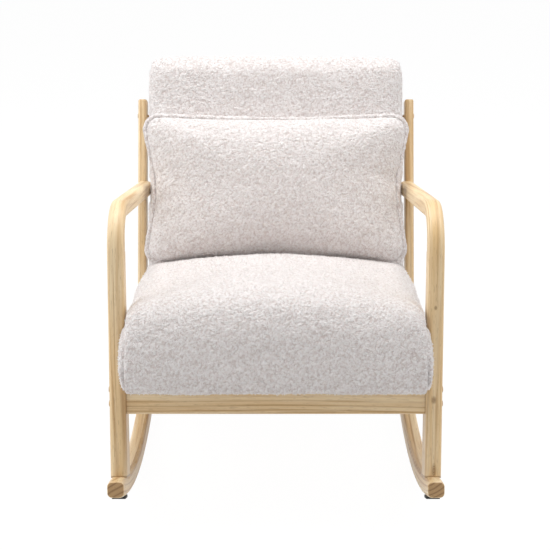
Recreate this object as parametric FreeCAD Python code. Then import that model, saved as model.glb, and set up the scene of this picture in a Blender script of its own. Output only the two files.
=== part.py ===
import FreeCAD, Part
import math
import os
from FreeCAD import Vector

# Upholstered rocking chair, in millimetres.
# Everything is drawn with the front legs upright: X to the right, Y to the rear, Z up.
# Y = 0 is the front face of the legs, Z = 0 is the top of the rocker at that face.
# At the end the whole chair is leaned back to the angle at which it stands still.

# Stance
REST_TILT = 12.064          # lean of the frame when the chair stands still, degrees

# Side frames
FRAME_SPAN = 640.0          # over the outer faces of the two side frames
FRAME_WIDTH = 32.0          # width of rocker, leg and armrest
FRAME_ROUND = 10.0          # rounding of their long edges
LEG_TOP_DEPTH = 38.0
LEG_FOOT_DEPTH = 64.0
LEG_REAR_ROUND = 5.0
ARM_TOP = 529.0
ARM_THICK = 34.0
ARM_BEND = 95.0             # outer radius of the bend from leg to armrest
ARM_INNER_BEND = 38.0

# Back posts
POST_THICK = 20.0
POST_DEPTH = 44.0
POST_FOOT_Y = 514.0         # where the line of the front face meets Z = 0
POST_RECLINE = 9.3          # from the line of the legs, degrees
POST_LENGTH = 727.0         # from Z = 0 to the top, along the post
POST_ROUND = 7.0

# Rockers
ROCKER_RADIUS = 1020.0      # underside
ROCKER_THICK = 38.0
ROCKER_CENTRE_Y = 218.5
ROCKER_ROUND = 9.0
TIP_AHEAD = 52.0            # front end ahead of the leg
TIP_HEIGHT = 30.5
TIP_START_Y = 20.0          # where the top begins to bend down to the tip
TAIL_ANGLE = 34.0           # rear end, from the lowest point, degrees
TAIL_THICK = 28.0
TAIL_START_ANGLE = 27.0
END_ROUND = 2.5
HOUSING = 3.0               # depth to which a foot is let into the rocker
PAD_THICK = 5.0
PAD_WIDTH = 26.0
PAD_LENGTH = 38.0
PAD_INSET = 50.0            # from the end of the rocker

# Rails and seat panel
FRONT_RAIL_Y = 10.0
FRONT_RAIL_THICK = 24.0
FRONT_RAIL_BOTTOM = 121.0
RAIL_TOP = 182.0
SIDE_RAIL_HEIGHT = 45.0
SIDE_RAIL_THICK = 20.0
SIDE_RAIL_INSET = 5.0       # from the outer face of the side frame
REAR_RAIL_Y = 556.0
REAR_RAIL_THICK = 22.0
RAIL_ROUND = 4.0
PANEL_THICK = 12.0
PANEL_GAP = 3.0             # panel and blocks to leg
POST_GAP = 1.0              # panel to post
BLOCK_LEG = 66.0
BLOCK_HEIGHT = 36.0

# Seat cushion
COVER = 3.0                 # thickness of the pile fabric
LAY = 0.4                   # clearance of filling to cover
SEAT_SIDE = 23.0            # from the outer face of the side frame
SEAT_FRONT = 46.0           # ahead of the legs
SEAT_DROP = 16.0            # front edge below the top of the rails
SEAT_THICK = 147.0          # at the sides, above the panel
SEAT_RISE = 27.0            # of its top, from the legs to the back posts
SEAT_TOP_ROUND = 46.0
SEAT_LOW_ROUND = 20.0
SEAT_CROWN = 12.0           # slope of the crown at the sides, degrees
SEAT_REAR_CROWN = 3.0       # the same under the pillow
SEAT_BULGE = 5.0
SEAT_GAP = 1.5              # cushion to panel and to back
LEG_GAP = 2.0               # cushion to leg and to armrest

# Back cushion, in the line of the posts
BACK_SIDE = 5.0             # cushion to post
BACK_FRONT = 78.0           # ahead of the posts
BACK_REAR = 40.0
BACK_LIFT = 14.0            # above the seat panel
BACK_HEIGHT = 614.0
BACK_FRONT_ROUND = 32.0
BACK_REAR_ROUND = 12.0
BACK_BULGE = 8.0
BACK_EDGE_ROUND = 30.0

# Frame inside the back cushion
STILE_WIDTH = 26.0
STILE_DEPTH = 60.0
STILE_REAR = 35.0
STILE_INSET = 15.0          # from the side of the cushion
BACK_FRAME_LIFT = 14.0      # above the bottom of the cushion
BACK_FRAME_DROP = 24.0      # below its top
WEB_WIDTH = 50.0
WEB_THICK = 2.0
WEB_COUNT = 5
WEB_LAP = 20.0              # how far each strap lies on the stile

# Lumbar pillow
PILLOW_ARM_GAP = 2.6        # lower corners to armrest
PILLOW_FLARE = 12.0         # upper corners beyond the lower ones
PILLOW_TALL = 312.0
PILLOW_THICK = 124.0
PILLOW_CORNER = 30.0
PILLOW_SIDE_DRAW = 15.0     # how far the sides are drawn in between the corners
PILLOW_TOP_DRAW = 6.0
PILLOW_GAP = 1.2            # pillow to back cushion
PILLOW_RISE = 31.8          # bottom above the front edge of the seat
PIPING_RADIUS = 4.5
PIPING_GAP = 0.4

# Hardware
BOLT_RADIUS = 3.0
BOLT_HOLE = 3.2
HEAD_RADIUS = 6.0
HEAD_HIGH = 2.4
RAIL_BOLT_REACH = 40.0      # into the rail
NUT_RADIUS = 5.0
NUT_FIT = 0.1
NUT_LENGTH = 18.0
NUT_FROM_END = 30.0
FRONT_BOLT_SHARES = (0.31, 0.77)    # of the rail's height
REAR_BOLT_SHARES = (0.22, 0.73)
BACK_BOLT_SHARES = (0.083, 0.813)   # of the back frame's height
BACK_BOLT_REACH = 24.0      # into the stile
INSERT_RADIUS = 5.0
INSERT_LENGTH = 16.0
SLEEVE = 4.0                # hole in cover and foam for a back bolt
DOWEL_RADIUS = 5.0
SMALL_DOWEL_RADIUS = 4.0
DOWEL_FIT = 0.1
DOWEL_END = 1.0             # room left at each end of a dowel
DOWEL_DEEP = 20.0           # into each piece
SCREW_RADIUS = 2.0
SCREW_HEAD_RADIUS = 4.0
SCREW_HEAD_HIGH = 2.5
SCREW_INTO_PANEL = 8.0

# Sizes that follow
X_OUT = FRAME_SPAN / 2
X_IN = X_OUT - FRAME_WIDTH
POST_IN = X_OUT - POST_THICK
ARM_BOTTOM = ARM_TOP - ARM_THICK
LEG_TOP = ARM_TOP - ARM_BEND
ROCKER_TOP_RADIUS = ROCKER_RADIUS - ROCKER_THICK
ROCKER_CENTRE_Z = math.sqrt(ROCKER_TOP_RADIUS ** 2 - ROCKER_CENTRE_Y ** 2)
FRONT_RAIL_REAR = FRONT_RAIL_Y + FRONT_RAIL_THICK
PANEL_TOP = RAIL_TOP + PANEL_THICK
SIDE_RAIL_OUT = X_OUT - SIDE_RAIL_INSET
SIDE_RAIL_IN = SIDE_RAIL_OUT - SIDE_RAIL_THICK
SIDE_RAIL_BOTTOM = RAIL_TOP - SIDE_RAIL_HEIGHT
SEAT_HALF = X_OUT - SEAT_SIDE
SEAT_LIP = RAIL_TOP - SEAT_DROP
SEAT_EDGE = PANEL_TOP + SEAT_THICK
BACK_HALF = POST_IN - BACK_SIDE
BACK_BOTTOM = PANEL_TOP + BACK_LIFT
BACK_TOP = BACK_BOTTOM + BACK_HEIGHT
BACK_FRAME_BOTTOM = BACK_BOTTOM + BACK_FRAME_LIFT
BACK_FRAME_TOP = BACK_TOP - BACK_FRAME_DROP
STILE_SIDE = BACK_HALF - STILE_INSET
STILE_FRONT = STILE_REAR - STILE_DEPTH
STILE_IN = STILE_SIDE - STILE_WIDTH
PILLOW_LOW_HALF = X_IN - PILLOW_ARM_GAP - 2 * PIPING_RADIUS - PIPING_GAP
PILLOW_TOP_HALF = PILLOW_LOW_HALF + PILLOW_FLARE
X_AXIS = Vector(1, 0, 0)
Y_AXIS = Vector(0, 1, 0)
Z_AXIS = Vector(0, 0, 1)


# Helpers
def box(x0, x1, y0, y1, z0, z1):
    return Part.makeBox(x1 - x0, y1 - y0, z1 - z0, Vector(x0, y0, z0))


def rod(radius, start, axis, length):
    return Part.makeCylinder(radius, length, start, axis)


def side_point(x, yz):
    return Vector(x, yz[0], yz[1])


def extrude_side(edges, x0, x1):
    """Solid from a closed profile drawn in the YZ plane at x0."""
    face = Part.Face(Part.Wire(Part.__sortEdges__(edges)))
    return face.extrude(Vector(x1 - x0, 0, 0))


def side_prism(points, x0, x1):
    corners = [side_point(x0, p) for p in points]
    corners.append(corners[0])
    return Part.Face(Part.makePolygon(corners)).extrude(Vector(x1 - x0, 0, 0))


def plan_prism(points, z0, z1):
    corners = [Vector(x, y, z0) for x, y in points]
    corners.append(corners[0])
    return Part.Face(Part.makePolygon(corners)).extrude(Vector(0, 0, z1 - z0))


def mirrored(shape):
    return shape.mirror(Vector(0, 0, 0), X_AXIS)


def both(shapes):
    return shapes + [mirrored(s) for s in shapes]


def cut_all(shape, tools):
    for tool in tools:
        shape = shape.cut(tool)
    return shape


def line(a, b):
    return Part.LineSegment(a, b).toShape()


def arc(a, middle, b):
    return Part.Arc(a, middle, b).toShape()


def lean(shape, degrees, y, z):
    """Lean a shape back about a line across the chair."""
    turned = shape.copy()
    turned.rotate(Vector(0, y, z), X_AXIS, -degrees)
    return turned


def with_posts(shape):
    """Set a shape drawn upright into the line of the back posts."""
    moved = shape.copy()
    moved.translate(Vector(0, POST_FOOT_Y, 0))
    return lean(moved, POST_RECLINE, POST_FOOT_Y, 0)


def post_front(z):
    return POST_FOOT_Y + z * math.tan(math.radians(POST_RECLINE))


def leg_rear(z):
    return LEG_TOP_DEPTH + (LEG_TOP - z) * (LEG_FOOT_DEPTH - LEG_TOP_DEPTH) / LEG_TOP


# Rockers
def arc_point(radius, angle):
    """Point in YZ on a circle about the rocker's centre, angle from its lowest point."""
    a = math.radians(angle)
    return (ROCKER_CENTRE_Y + radius * math.sin(a), ROCKER_CENTRE_Z - radius * math.cos(a))


def arc_angle(radius, y):
    return math.degrees(math.asin((y - ROCKER_CENTRE_Y) / radius))


def rocker_top(y):
    return arc_point(ROCKER_TOP_RADIUS, arc_angle(ROCKER_TOP_RADIUS, y))[1]


def tangent_arc(x, start, direction, end):
    """Arc from start, leaving along direction, to end."""
    p = side_point(x, start)
    q = side_point(x, end)
    normal = X_AXIS.cross(Vector(0, direction[0], direction[1])).normalize()
    chord = q - p
    radius = chord.Length ** 2 / (2 * normal.dot(chord))
    centre = p + normal * radius
    middle = (p + q) * 0.5 - centre
    return arc(p, centre + middle.normalize() * abs(radius), q)


def rocker_blank():
    tip_angle = arc_angle(ROCKER_RADIUS, -TIP_AHEAD)
    tip_low = arc_point(ROCKER_RADIUS, tip_angle)
    tip_high = (tip_low[0], tip_low[1] + TIP_HEIGHT)
    tail_low = arc_point(ROCKER_RADIUS, TAIL_ANGLE)
    tail_high = arc_point(ROCKER_RADIUS - TAIL_THICK, TAIL_ANGLE)
    bend_angle = arc_angle(ROCKER_TOP_RADIUS, TIP_START_Y)
    bend = arc_point(ROCKER_TOP_RADIUS, bend_angle)
    tail_bend = arc_point(ROCKER_TOP_RADIUS, TAIL_START_ANGLE)
    middle_low = arc_point(ROCKER_RADIUS, (tip_angle + TAIL_ANGLE) / 2)
    middle_high = arc_point(ROCKER_TOP_RADIUS, (bend_angle + TAIL_START_ANGLE) / 2)
    forward = (-math.cos(math.radians(bend_angle)), -math.sin(math.radians(bend_angle)))
    rearward = (math.cos(math.radians(TAIL_START_ANGLE)), math.sin(math.radians(TAIL_START_ANGLE)))
    x = X_IN
    edges = [
        arc(side_point(x, tip_low), side_point(x, middle_low), side_point(x, tail_low)),
        line(side_point(x, tail_low), side_point(x, tail_high)),
        tangent_arc(x, tail_bend, rearward, tail_high),
        arc(side_point(x, bend), side_point(x, middle_high), side_point(x, tail_bend)),
        tangent_arc(x, bend, forward, tip_high),
        line(side_point(x, tip_high), side_point(x, tip_low)),
    ]
    blank = extrude_side(edges, X_IN, X_OUT)
    along = [e for e in blank.Edges if abs(e.tangentAt(e.FirstParameter).x) < 0.5]
    blank = blank.makeFillet(ROCKER_ROUND, [e for e in along if e.Length > 1.5 * TIP_HEIGHT])
    end_faces = [f for f in blank.Faces if is_end_face(f, (tip_high, tail_high))]
    return blank.makeFillet(END_ROUND, [e for f in end_faces for e in f.Edges])


def is_end_face(face, ends):
    if face.Surface.TypeId != "Part::GeomPlane" or abs(face.normalAt(0, 0).x) > 0.5:
        return False
    centre = face.CenterOfMass
    return any(math.hypot(centre.y - e[0], centre.z - e[1]) < TIP_HEIGHT for e in ends)


def foot_line(y0, y1):
    """Two points of the flat that a foot stands on, let into the rocker's top."""
    return ((y0, rocker_top(y0) - HOUSING), (y1, rocker_top(y1) - HOUSING))


def below_line(a, b):
    """Everything under the line through a and b, to cut a foot to the rocker."""
    reach = 4.0
    rise = b[1] - a[1]
    run = b[0] - a[0]
    p = (a[0] - reach * run, a[1] - reach * rise)
    q = (b[0] + reach * run, b[1] + reach * rise)
    floor = -ROCKER_RADIUS / 2
    return side_prism([p, q, (q[0], floor), (p[0], floor)], 0, FRAME_SPAN)


FRONT_FOOT = foot_line(0.0, LEG_FOOT_DEPTH)
REAR_FOOT = foot_line(post_front(rocker_top(POST_FOOT_Y)), post_front(0) + POST_DEPTH)


def pad(angle):
    half = math.degrees(PAD_LENGTH / ROCKER_RADIUS) / 2
    low = ROCKER_RADIUS + PAD_THICK
    x = (X_IN + X_OUT - PAD_WIDTH) / 2
    top = [side_point(x, arc_point(ROCKER_RADIUS, a)) for a in (angle - half, angle, angle + half)]
    bottom = [side_point(x, arc_point(low, a)) for a in (angle - half, angle, angle + half)]
    edges = [arc(*top), line(top[2], bottom[2]), arc(*bottom), line(bottom[0], top[0])]
    return extrude_side(edges, x, x + PAD_WIDTH)


def pads():
    inset = math.degrees((PAD_INSET + PAD_LENGTH / 2) / ROCKER_RADIUS)
    front = arc_angle(ROCKER_RADIUS, -TIP_AHEAD) + inset
    return both([pad(front), pad(TAIL_ANGLE - inset)])


# Legs, armrests and posts
def upright_edges(shape, shortest):
    return [e for e in shape.Edges if e.Length > shortest and abs(e.tangentAt(0).x) < 0.5]


def leg_blank():
    low = -ROCKER_THICK
    points = [(0, LEG_TOP), (LEG_TOP_DEPTH, LEG_TOP), (leg_rear(low), low), (0, low)]
    blank = side_prism(points, X_IN, X_OUT)
    front = [e for e in upright_edges(blank, LEG_TOP / 2) if e.BoundBox.YMax < 0.1]
    blank = blank.makeFillet(FRAME_ROUND, front)
    rear = [e for e in upright_edges(blank, LEG_TOP / 2) if e.BoundBox.YMax > LEG_TOP_DEPTH]
    blank = blank.makeFillet(LEG_REAR_ROUND, rear)
    return blank.cut(below_line(*FRONT_FOOT))


def arm_blank():
    x = X_IN
    s = math.sqrt(0.5)
    bend = (ARM_BEND * (1 - s), LEG_TOP + ARM_BEND * s)
    inner_y = LEG_TOP_DEPTH + ARM_INNER_BEND
    inner_z = ARM_BOTTOM - ARM_INNER_BEND
    inner = (inner_y - ARM_INNER_BEND * s, inner_z + ARM_INNER_BEND * s)
    p = [
        (0, LEG_TOP), (ARM_BEND, ARM_TOP), (post_front(ARM_TOP), ARM_TOP),
        (post_front(ARM_BOTTOM), ARM_BOTTOM), (inner_y, ARM_BOTTOM),
        (LEG_TOP_DEPTH, inner_z), (LEG_TOP_DEPTH, LEG_TOP),
    ]
    v = [side_point(x, q) for q in p]
    edges = [
        arc(v[0], side_point(x, bend), v[1]), line(v[1], v[2]), line(v[2], v[3]), line(v[3], v[4]),
        arc(v[4], side_point(x, inner), v[5]), line(v[5], v[6]), line(v[6], v[0]),
    ]
    blank = extrude_side(edges, X_IN, X_OUT)
    return blank.makeFillet(FRAME_ROUND, [e for e in blank.Edges if arm_long_edge(e)])


def arm_long_edge(edge):
    """An edge along the armrest, not one across it or around its end cuts."""
    if abs(edge.tangentAt(edge.FirstParameter).x) > 0.5:
        return False
    centre = edge.CenterOfMass
    at_leg = abs(edge.BoundBox.ZMax - LEG_TOP) < 0.1
    at_post = abs(centre.y - post_front(centre.z)) < 0.1
    return not (at_leg or at_post)


def post_blank():
    blank = box(POST_IN, X_OUT, 0, POST_DEPTH, -ROCKER_THICK, POST_LENGTH)
    blank = blank.makeFillet(POST_ROUND, [e for e in blank.Edges if e.BoundBox.ZLength > POST_LENGTH])
    top = [e for e in blank.Edges if e.BoundBox.ZMin > POST_LENGTH - 0.1]
    blank = blank.makeFillet(POST_ROUND / 2, top)
    return with_posts(blank).cut(below_line(*REAR_FOOT))


# Rails, blocks and seat panel
def front_rail_blank():
    rail = box(-X_IN, X_IN, FRONT_RAIL_Y, FRONT_RAIL_REAR, FRONT_RAIL_BOTTOM, RAIL_TOP)
    return rail.makeFillet(RAIL_ROUND, [e for e in rail.Edges if e.BoundBox.XLength > X_IN])


def rear_rail_blank():
    rear = REAR_RAIL_Y + REAR_RAIL_THICK
    return box(-POST_IN, POST_IN, REAR_RAIL_Y, rear, SIDE_RAIL_BOTTOM, RAIL_TOP)


def side_rail_blank():
    low = SIDE_RAIL_BOTTOM
    points = [
        (leg_rear(low), low), (post_front(low), low),
        (post_front(RAIL_TOP), RAIL_TOP), (leg_rear(RAIL_TOP), RAIL_TOP),
    ]
    return side_prism(points, SIDE_RAIL_IN, SIDE_RAIL_OUT)


def block_points():
    step = leg_rear(FRONT_RAIL_BOTTOM) + PANEL_GAP
    lap = X_IN - POST_GAP
    front = [
        (SIDE_RAIL_IN - BLOCK_LEG, FRONT_RAIL_REAR), (lap, FRONT_RAIL_REAR), (lap, step),
        (SIDE_RAIL_IN, step), (SIDE_RAIL_IN, step + BLOCK_LEG / 2),
    ]
    rear = [
        (SIDE_RAIL_IN - BLOCK_LEG, REAR_RAIL_Y), (SIDE_RAIL_IN, REAR_RAIL_Y - BLOCK_LEG),
        (SIDE_RAIL_IN, REAR_RAIL_Y),
    ]
    return front, rear


def block_centres():
    centres = []
    for points in block_points():
        x = sum(p[0] for p in points) / len(points)
        y = sum(p[1] for p in points) / len(points)
        centres.append(Vector(x, y, RAIL_TOP - BLOCK_HEIGHT))
    return centres


def screw(centre):
    """Screw driven up through a corner block into the panel, its head let in."""
    shank = rod(SCREW_RADIUS, centre, Z_AXIS, BLOCK_HEIGHT + SCREW_INTO_PANEL)
    head = rod(SCREW_HEAD_RADIUS, centre, Z_AXIS, SCREW_HEAD_HIGH)
    return shank.fuse(head).removeSplitter()


def seat_screws():
    return both([screw(c) for c in block_centres()])


def corner_blocks():
    blocks = [plan_prism(p, RAIL_TOP - BLOCK_HEIGHT, RAIL_TOP) for p in block_points()]
    return [cut_all(b, seat_screws()) for b in both(blocks)]


def seat_panel():
    front_half = X_IN - PANEL_GAP
    rear_half = POST_IN - POST_GAP
    step = leg_rear(RAIL_TOP) + PANEL_GAP
    rear = REAR_RAIL_Y + REAR_RAIL_THICK
    half = [(front_half, FRONT_RAIL_Y), (front_half, step), (rear_half, step), (rear_half, rear)]
    outline = half + [(-x, y) for x, y in reversed(half)]
    return cut_all(plan_prism(outline, RAIL_TOP, PANEL_TOP), seat_screws())


# Cushions
def seat_section(y, d, slope):
    """Outline across the seat cushion, drawn in all round by d, with a crown of this slope."""
    w = SEAT_HALF - d
    low = SEAT_LIP + d
    high = SEAT_EDGE + SEAT_RISE * max(y, 0) / post_front(SEAT_EDGE) - d
    r = SEAT_LOW_ROUND
    t = SEAT_TOP_ROUND
    a = math.radians(90 - slope)
    m = a / 2
    edge_x = w - t + t * math.cos(a)
    edge_z = high - t + t * math.sin(a)
    crown = edge_z + edge_x * (1 - math.sin(a)) / math.cos(a)
    s = math.sqrt(0.5)
    right = [
        Vector(w - r, y, low), Vector(w - r + r * s, y, low + r - r * s), Vector(w, y, low + r),
        Vector(w + SEAT_BULGE, y, (low + r + high - t) / 2), Vector(w, y, high - t),
        Vector(w - t + t * math.cos(m), y, high - t + t * math.sin(m)), Vector(edge_x, y, edge_z),
    ]
    left = [Vector(-p.x, p.y, p.z) for p in right]
    edges = [
        line(left[0], right[0]), arc(*right[0:3]), arc(*right[2:5]), arc(*right[4:7]),
        arc(right[6], Vector(0, y, crown), left[6]),
        arc(left[6], left[5], left[4]), arc(left[4], left[3], left[2]), arc(left[2], left[1], left[0]),
    ]
    return Part.Wire(edges)


def seat_form(inset):
    """Seat cushion, drawn in by inset on every face."""
    front = -SEAT_FRONT + inset
    rear = post_front(SEAT_EDGE)
    roll = SEAT_TOP_ROUND
    steps = [(0, 0.62), (0.06, 0.36), (0.2, 0.15), (0.45, 0.04), (0.8, 0)]
    wires = [seat_section(front + f * roll, inset + g * roll, SEAT_CROWN) for f, g in steps]
    wires += [seat_section(rear * k, inset, SEAT_CROWN) for k in (0.2, 0.5)]
    wires += [seat_section(rear * k, inset, SEAT_REAR_CROWN) for k in (0.75, 1.0)]
    return cut_all(Part.makeLoft(wires, True, False), seat_cuts(inset))


def seat_cuts(inset):
    """Room for the panel and rails below, the legs at the sides and the back cushion behind."""
    far = FRAME_SPAN
    under = box(-far, far, FRONT_RAIL_Y - SEAT_GAP - inset, far, 0, PANEL_TOP + SEAT_GAP + inset)
    gap = LEG_GAP + inset
    leg = box(X_IN - gap, far, -gap, leg_rear(PANEL_TOP) + gap, 0, far)
    room = BACK_FRONT + BACK_BULGE + SEAT_GAP + inset
    back = with_posts(box(-far, far, -room, far, -far, 2 * far))
    return [under, back] + both([leg])


def back_section(z, d):
    """Outline of the back cushion at height z, seen from above, drawn in all round by d."""
    w = BACK_HALF - d
    front = -BACK_FRONT + d
    rear = BACK_REAR - d
    r = BACK_FRONT_ROUND
    q = BACK_REAR_ROUND
    s = math.sqrt(0.5)
    right = [
        Vector(w - r, front, z), Vector(w - r + r * s, front + r - r * s, z), Vector(w, front + r, z),
        Vector(w, rear - q, z), Vector(w - q + q * s, rear - q + q * s, z), Vector(w - q, rear, z),
    ]
    left = [Vector(-p.x, p.y, p.z) for p in right]
    edges = [
        arc(left[0], Vector(0, front - BACK_BULGE, z), right[0]), arc(*right[0:3]),
        line(right[2], right[3]), arc(*right[3:6]), line(right[5], left[5]),
        arc(left[5], left[4], left[3]), line(left[3], left[2]), arc(left[2], left[1], left[0]),
    ]
    return Part.Wire(edges)


def back_form(inset):
    """Back cushion in the line of the posts, drawn in by inset on every face."""
    low = BACK_BOTTOM + inset
    high = BACK_TOP - inset
    roll = BACK_EDGE_ROUND
    steps = [(0, 0.9), (0.1, 0.5), (0.35, 0.2), (0.8, 0.04), (1.5, 0)]
    foot = [(low + f * roll / 2, g * roll / 2) for f, g in steps]
    head = [(high - f * roll, g * roll) for f, g in reversed(steps)]
    middle = [(low + (high - low) * k, 0) for k in (0.3, 0.6)]
    wires = [back_section(z, inset + g) for z, g in foot + middle + head]
    return cut_all(with_posts(Part.makeLoft(wires, True, False)), arm_room(inset))


def arm_room(inset):
    """Dent in each side of the back cushion where the end of the armrest passes it."""
    gap = LEG_GAP + inset
    rear = post_front(ARM_TOP) + gap
    return both([box(X_IN - gap, FRAME_SPAN, 0, rear, ARM_BOTTOM - gap, ARM_TOP + gap)])


def corner_centres(inset):
    half = PILLOW_TALL / 2 - PILLOW_CORNER - inset
    top = PILLOW_TOP_HALF - PILLOW_CORNER - inset
    low = PILLOW_LOW_HALF - PILLOW_CORNER - inset
    return [Vector(top, 0, half), Vector(low, 0, -half), Vector(-low, 0, -half), Vector(-top, 0, half)]


def pillow_outline(y, inset, corner):
    """Closed outline with four round corners and sides that are drawn in between them."""
    centres = corner_centres(inset + corner - PILLOW_CORNER)
    full = corner_centres(0)
    draws = (PILLOW_SIDE_DRAW, PILLOW_TOP_DRAW, PILLOW_SIDE_DRAW, PILLOW_TOP_DRAW)
    sides = []
    for i in range(4):
        k = (i + 1) % 4
        share = (centres[k] - centres[i]).Length / (full[k] - full[i]).Length
        sides.append(side_arc(centres[i], centres[k], corner, corner - draws[i] * share ** 2))
    edges = []
    for i in range(4):
        start, middle, end = sides[i]
        follow = sides[(i + 1) % 4][0]
        centre = centres[(i + 1) % 4]
        outward = (end - centre) + (follow - centre)
        edges.append(arc(start, middle, end))
        edges.append(arc(end, centre + outward.normalize() * corner, follow))
    wire = Part.Wire(edges)
    wire.translate(Vector(0, y, 0))
    return wire


def side_arc(a, b, corner, offset):
    """Hollow arc that touches the corner circles about a and b and passes offset outside their chord."""
    along = b - a
    half = along.Length / 2
    outward = along.cross(Y_AXIS).normalize()
    middle = (a + b) * 0.5
    if outward.dot(middle) < 0:
        outward = outward * -1
    radius = (half ** 2 + offset ** 2 - corner ** 2) / (2 * (corner - offset))
    centre = middle + outward * (radius + offset)
    start = centre + (a - centre) * (radius / (radius + corner))
    end = centre + (b - centre) * (radius / (radius + corner))
    return start, middle + outward * offset, end


def pillow_form(inset):
    """Pillow in its own upright frame about its centre, drawn in by inset on every face."""
    half = PILLOW_THICK / 2 - inset
    steps = [(0, 0), (0.3, 0.03), (0.55, 0.11), (0.74, 0.24), (0.88, 0.42), (0.96, 0.58), (1.0, 0.73)]
    levels = [(half * f, g * PILLOW_TALL / 2) for f, g in steps]
    levels = [(-y, g) for y, g in reversed(levels[1:])] + levels
    wires = [pillow_outline(y, inset + g, PILLOW_CORNER) for y, g in levels]
    return Part.makeLoft(wires, True, False)


def piping():
    path = pillow_outline(0, -PIPING_RADIUS - PIPING_GAP, PILLOW_CORNER + PIPING_RADIUS + PIPING_GAP)
    first = path.OrderedEdges[0]
    start = first.valueAt(first.FirstParameter)
    ring = Part.Wire(Part.makeCircle(PIPING_RADIUS, start, first.tangentAt(first.FirstParameter)))
    return path.makePipeShell([ring], True, True)


def set_pillow(shape):
    """Stand the pillow on the seat, against the back cushion."""
    a = math.radians(POST_RECLINE)
    ahead = BACK_FRONT + BACK_BULGE + PILLOW_GAP + PILLOW_THICK / 2
    foot = (SEAT_EDGE + PILLOW_RISE - ahead * math.sin(a)) / math.cos(a)
    moved = shape.copy()
    moved.translate(Vector(0, -ahead, foot + PILLOW_TALL / 2))
    return with_posts(moved)


# Frame inside the back cushion
def stile():
    return box(STILE_IN, STILE_SIDE, STILE_FRONT, STILE_REAR, BACK_FRAME_BOTTOM, BACK_FRAME_TOP)


def back_rail(low):
    return box(-STILE_IN, STILE_IN, STILE_FRONT, STILE_REAR, low, low + STILE_WIDTH)


def back_frame_dowels(grow):
    dowels = []
    for z in (BACK_FRAME_BOTTOM + STILE_WIDTH / 2, BACK_FRAME_TOP - STILE_WIDTH / 2):
        for share in (0.25, 0.75):
            centre = Vector(STILE_IN, STILE_FRONT + STILE_DEPTH * share, z)
            dowels.append(dowel(SMALL_DOWEL_RADIUS, centre, X_AXIS, grow))
    return both(dowels)


def webbing():
    span = BACK_FRAME_TOP - BACK_FRAME_BOTTOM - 2 * STILE_WIDTH
    pitch = span / WEB_COUNT
    half = STILE_IN + WEB_LAP
    straps = []
    for i in range(WEB_COUNT):
        low = BACK_FRAME_BOTTOM + STILE_WIDTH + pitch * (i + 0.5) - WEB_WIDTH / 2
        straps.append(box(-half, half, STILE_FRONT - WEB_THICK, STILE_FRONT, low, low + WEB_WIDTH))
    return straps


def back_room():
    """Hollow in the back foam for the frame and its webbing, open to the rear."""
    side = STILE_SIDE + LAY
    front = STILE_FRONT - WEB_THICK - LAY
    return box(-side, side, front, 2 * BACK_REAR, BACK_FRAME_BOTTOM - LAY, BACK_FRAME_TOP + LAY)


# Bolts, nuts and dowels
def cross_bolt(outer, reach, y, z):
    """Bolt from an outer face towards the middle of the chair, with a low head."""
    shank = rod(BOLT_RADIUS, Vector(outer, y, z), X_AXIS * -1, reach)
    head = rod(HEAD_RADIUS, Vector(outer, y, z), X_AXIS, HEAD_HIGH)
    rim = [e for e in head.Edges if e.BoundBox.XMin > outer + HEAD_HIGH / 2]
    return shank.fuse(head.makeFillet(HEAD_HIGH * 0.6, rim)).removeSplitter()


def bolt_hole(outer, reach, y, z):
    return rod(BOLT_HOLE, Vector(outer, y, z), X_AXIS * -1, reach + DOWEL_END)


def shares_of(low, high, shares):
    return [low + (high - low) * s for s in shares]


FRONT_BOLT_Z = shares_of(FRONT_RAIL_BOTTOM, RAIL_TOP, FRONT_BOLT_SHARES)
REAR_BOLT_Z = shares_of(SIDE_RAIL_BOTTOM, RAIL_TOP, REAR_BOLT_SHARES)
BACK_BOLT_Z = shares_of(BACK_FRAME_BOTTOM, BACK_FRAME_TOP, BACK_BOLT_SHARES)
FRONT_BOLT_Y = FRONT_RAIL_Y + FRONT_RAIL_THICK / 2
REAR_BOLT_Y = REAR_RAIL_Y + REAR_RAIL_THICK / 2
FRONT_REACH = FRAME_WIDTH + RAIL_BOLT_REACH
REAR_REACH = POST_THICK + RAIL_BOLT_REACH
BACK_REACH = X_OUT - STILE_SIDE + BACK_BOLT_REACH


def front_bolts(make):
    return both([make(X_OUT, FRONT_REACH, FRONT_BOLT_Y, z) for z in FRONT_BOLT_Z])


def rear_bolts(make):
    return both([make(X_OUT, REAR_REACH, REAR_BOLT_Y, z) for z in REAR_BOLT_Z])


def back_bolts(make):
    return both([with_posts(make(X_OUT, BACK_REACH, POST_DEPTH / 2, z)) for z in BACK_BOLT_Z])


def barrel_nuts(inner, y, heights, grow):
    length = NUT_LENGTH + 2 * grow
    nuts = []
    for z in heights:
        start = Vector(inner - NUT_FROM_END, y - length / 2, z)
        nuts.append(rod(NUT_RADIUS + grow, start, Y_AXIS, length))
    return both(nuts)


def front_nuts(grow):
    return barrel_nuts(X_IN, FRONT_BOLT_Y, FRONT_BOLT_Z, grow)


def rear_nuts(grow):
    return barrel_nuts(POST_IN, REAR_BOLT_Y, REAR_BOLT_Z, grow)


def inserts(grow):
    tubes = []
    for z in BACK_BOLT_Z:
        start = Vector(STILE_SIDE, POST_DEPTH / 2, z)
        tubes.append(rod(INSERT_RADIUS + grow, start, X_AXIS * -1, INSERT_LENGTH + grow))
    return both([with_posts(t) for t in tubes])


def dowel(radius, centre, axis, grow):
    reach = DOWEL_DEEP - DOWEL_END + grow * DOWEL_END / DOWEL_FIT
    return rod(radius + grow, centre - axis * reach, axis, 2 * reach)


def mid_of(line_points, share):
    a, b = line_points
    return (a[0] + (b[0] - a[0]) * share, a[1] + (b[1] - a[1]) * share)


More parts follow.
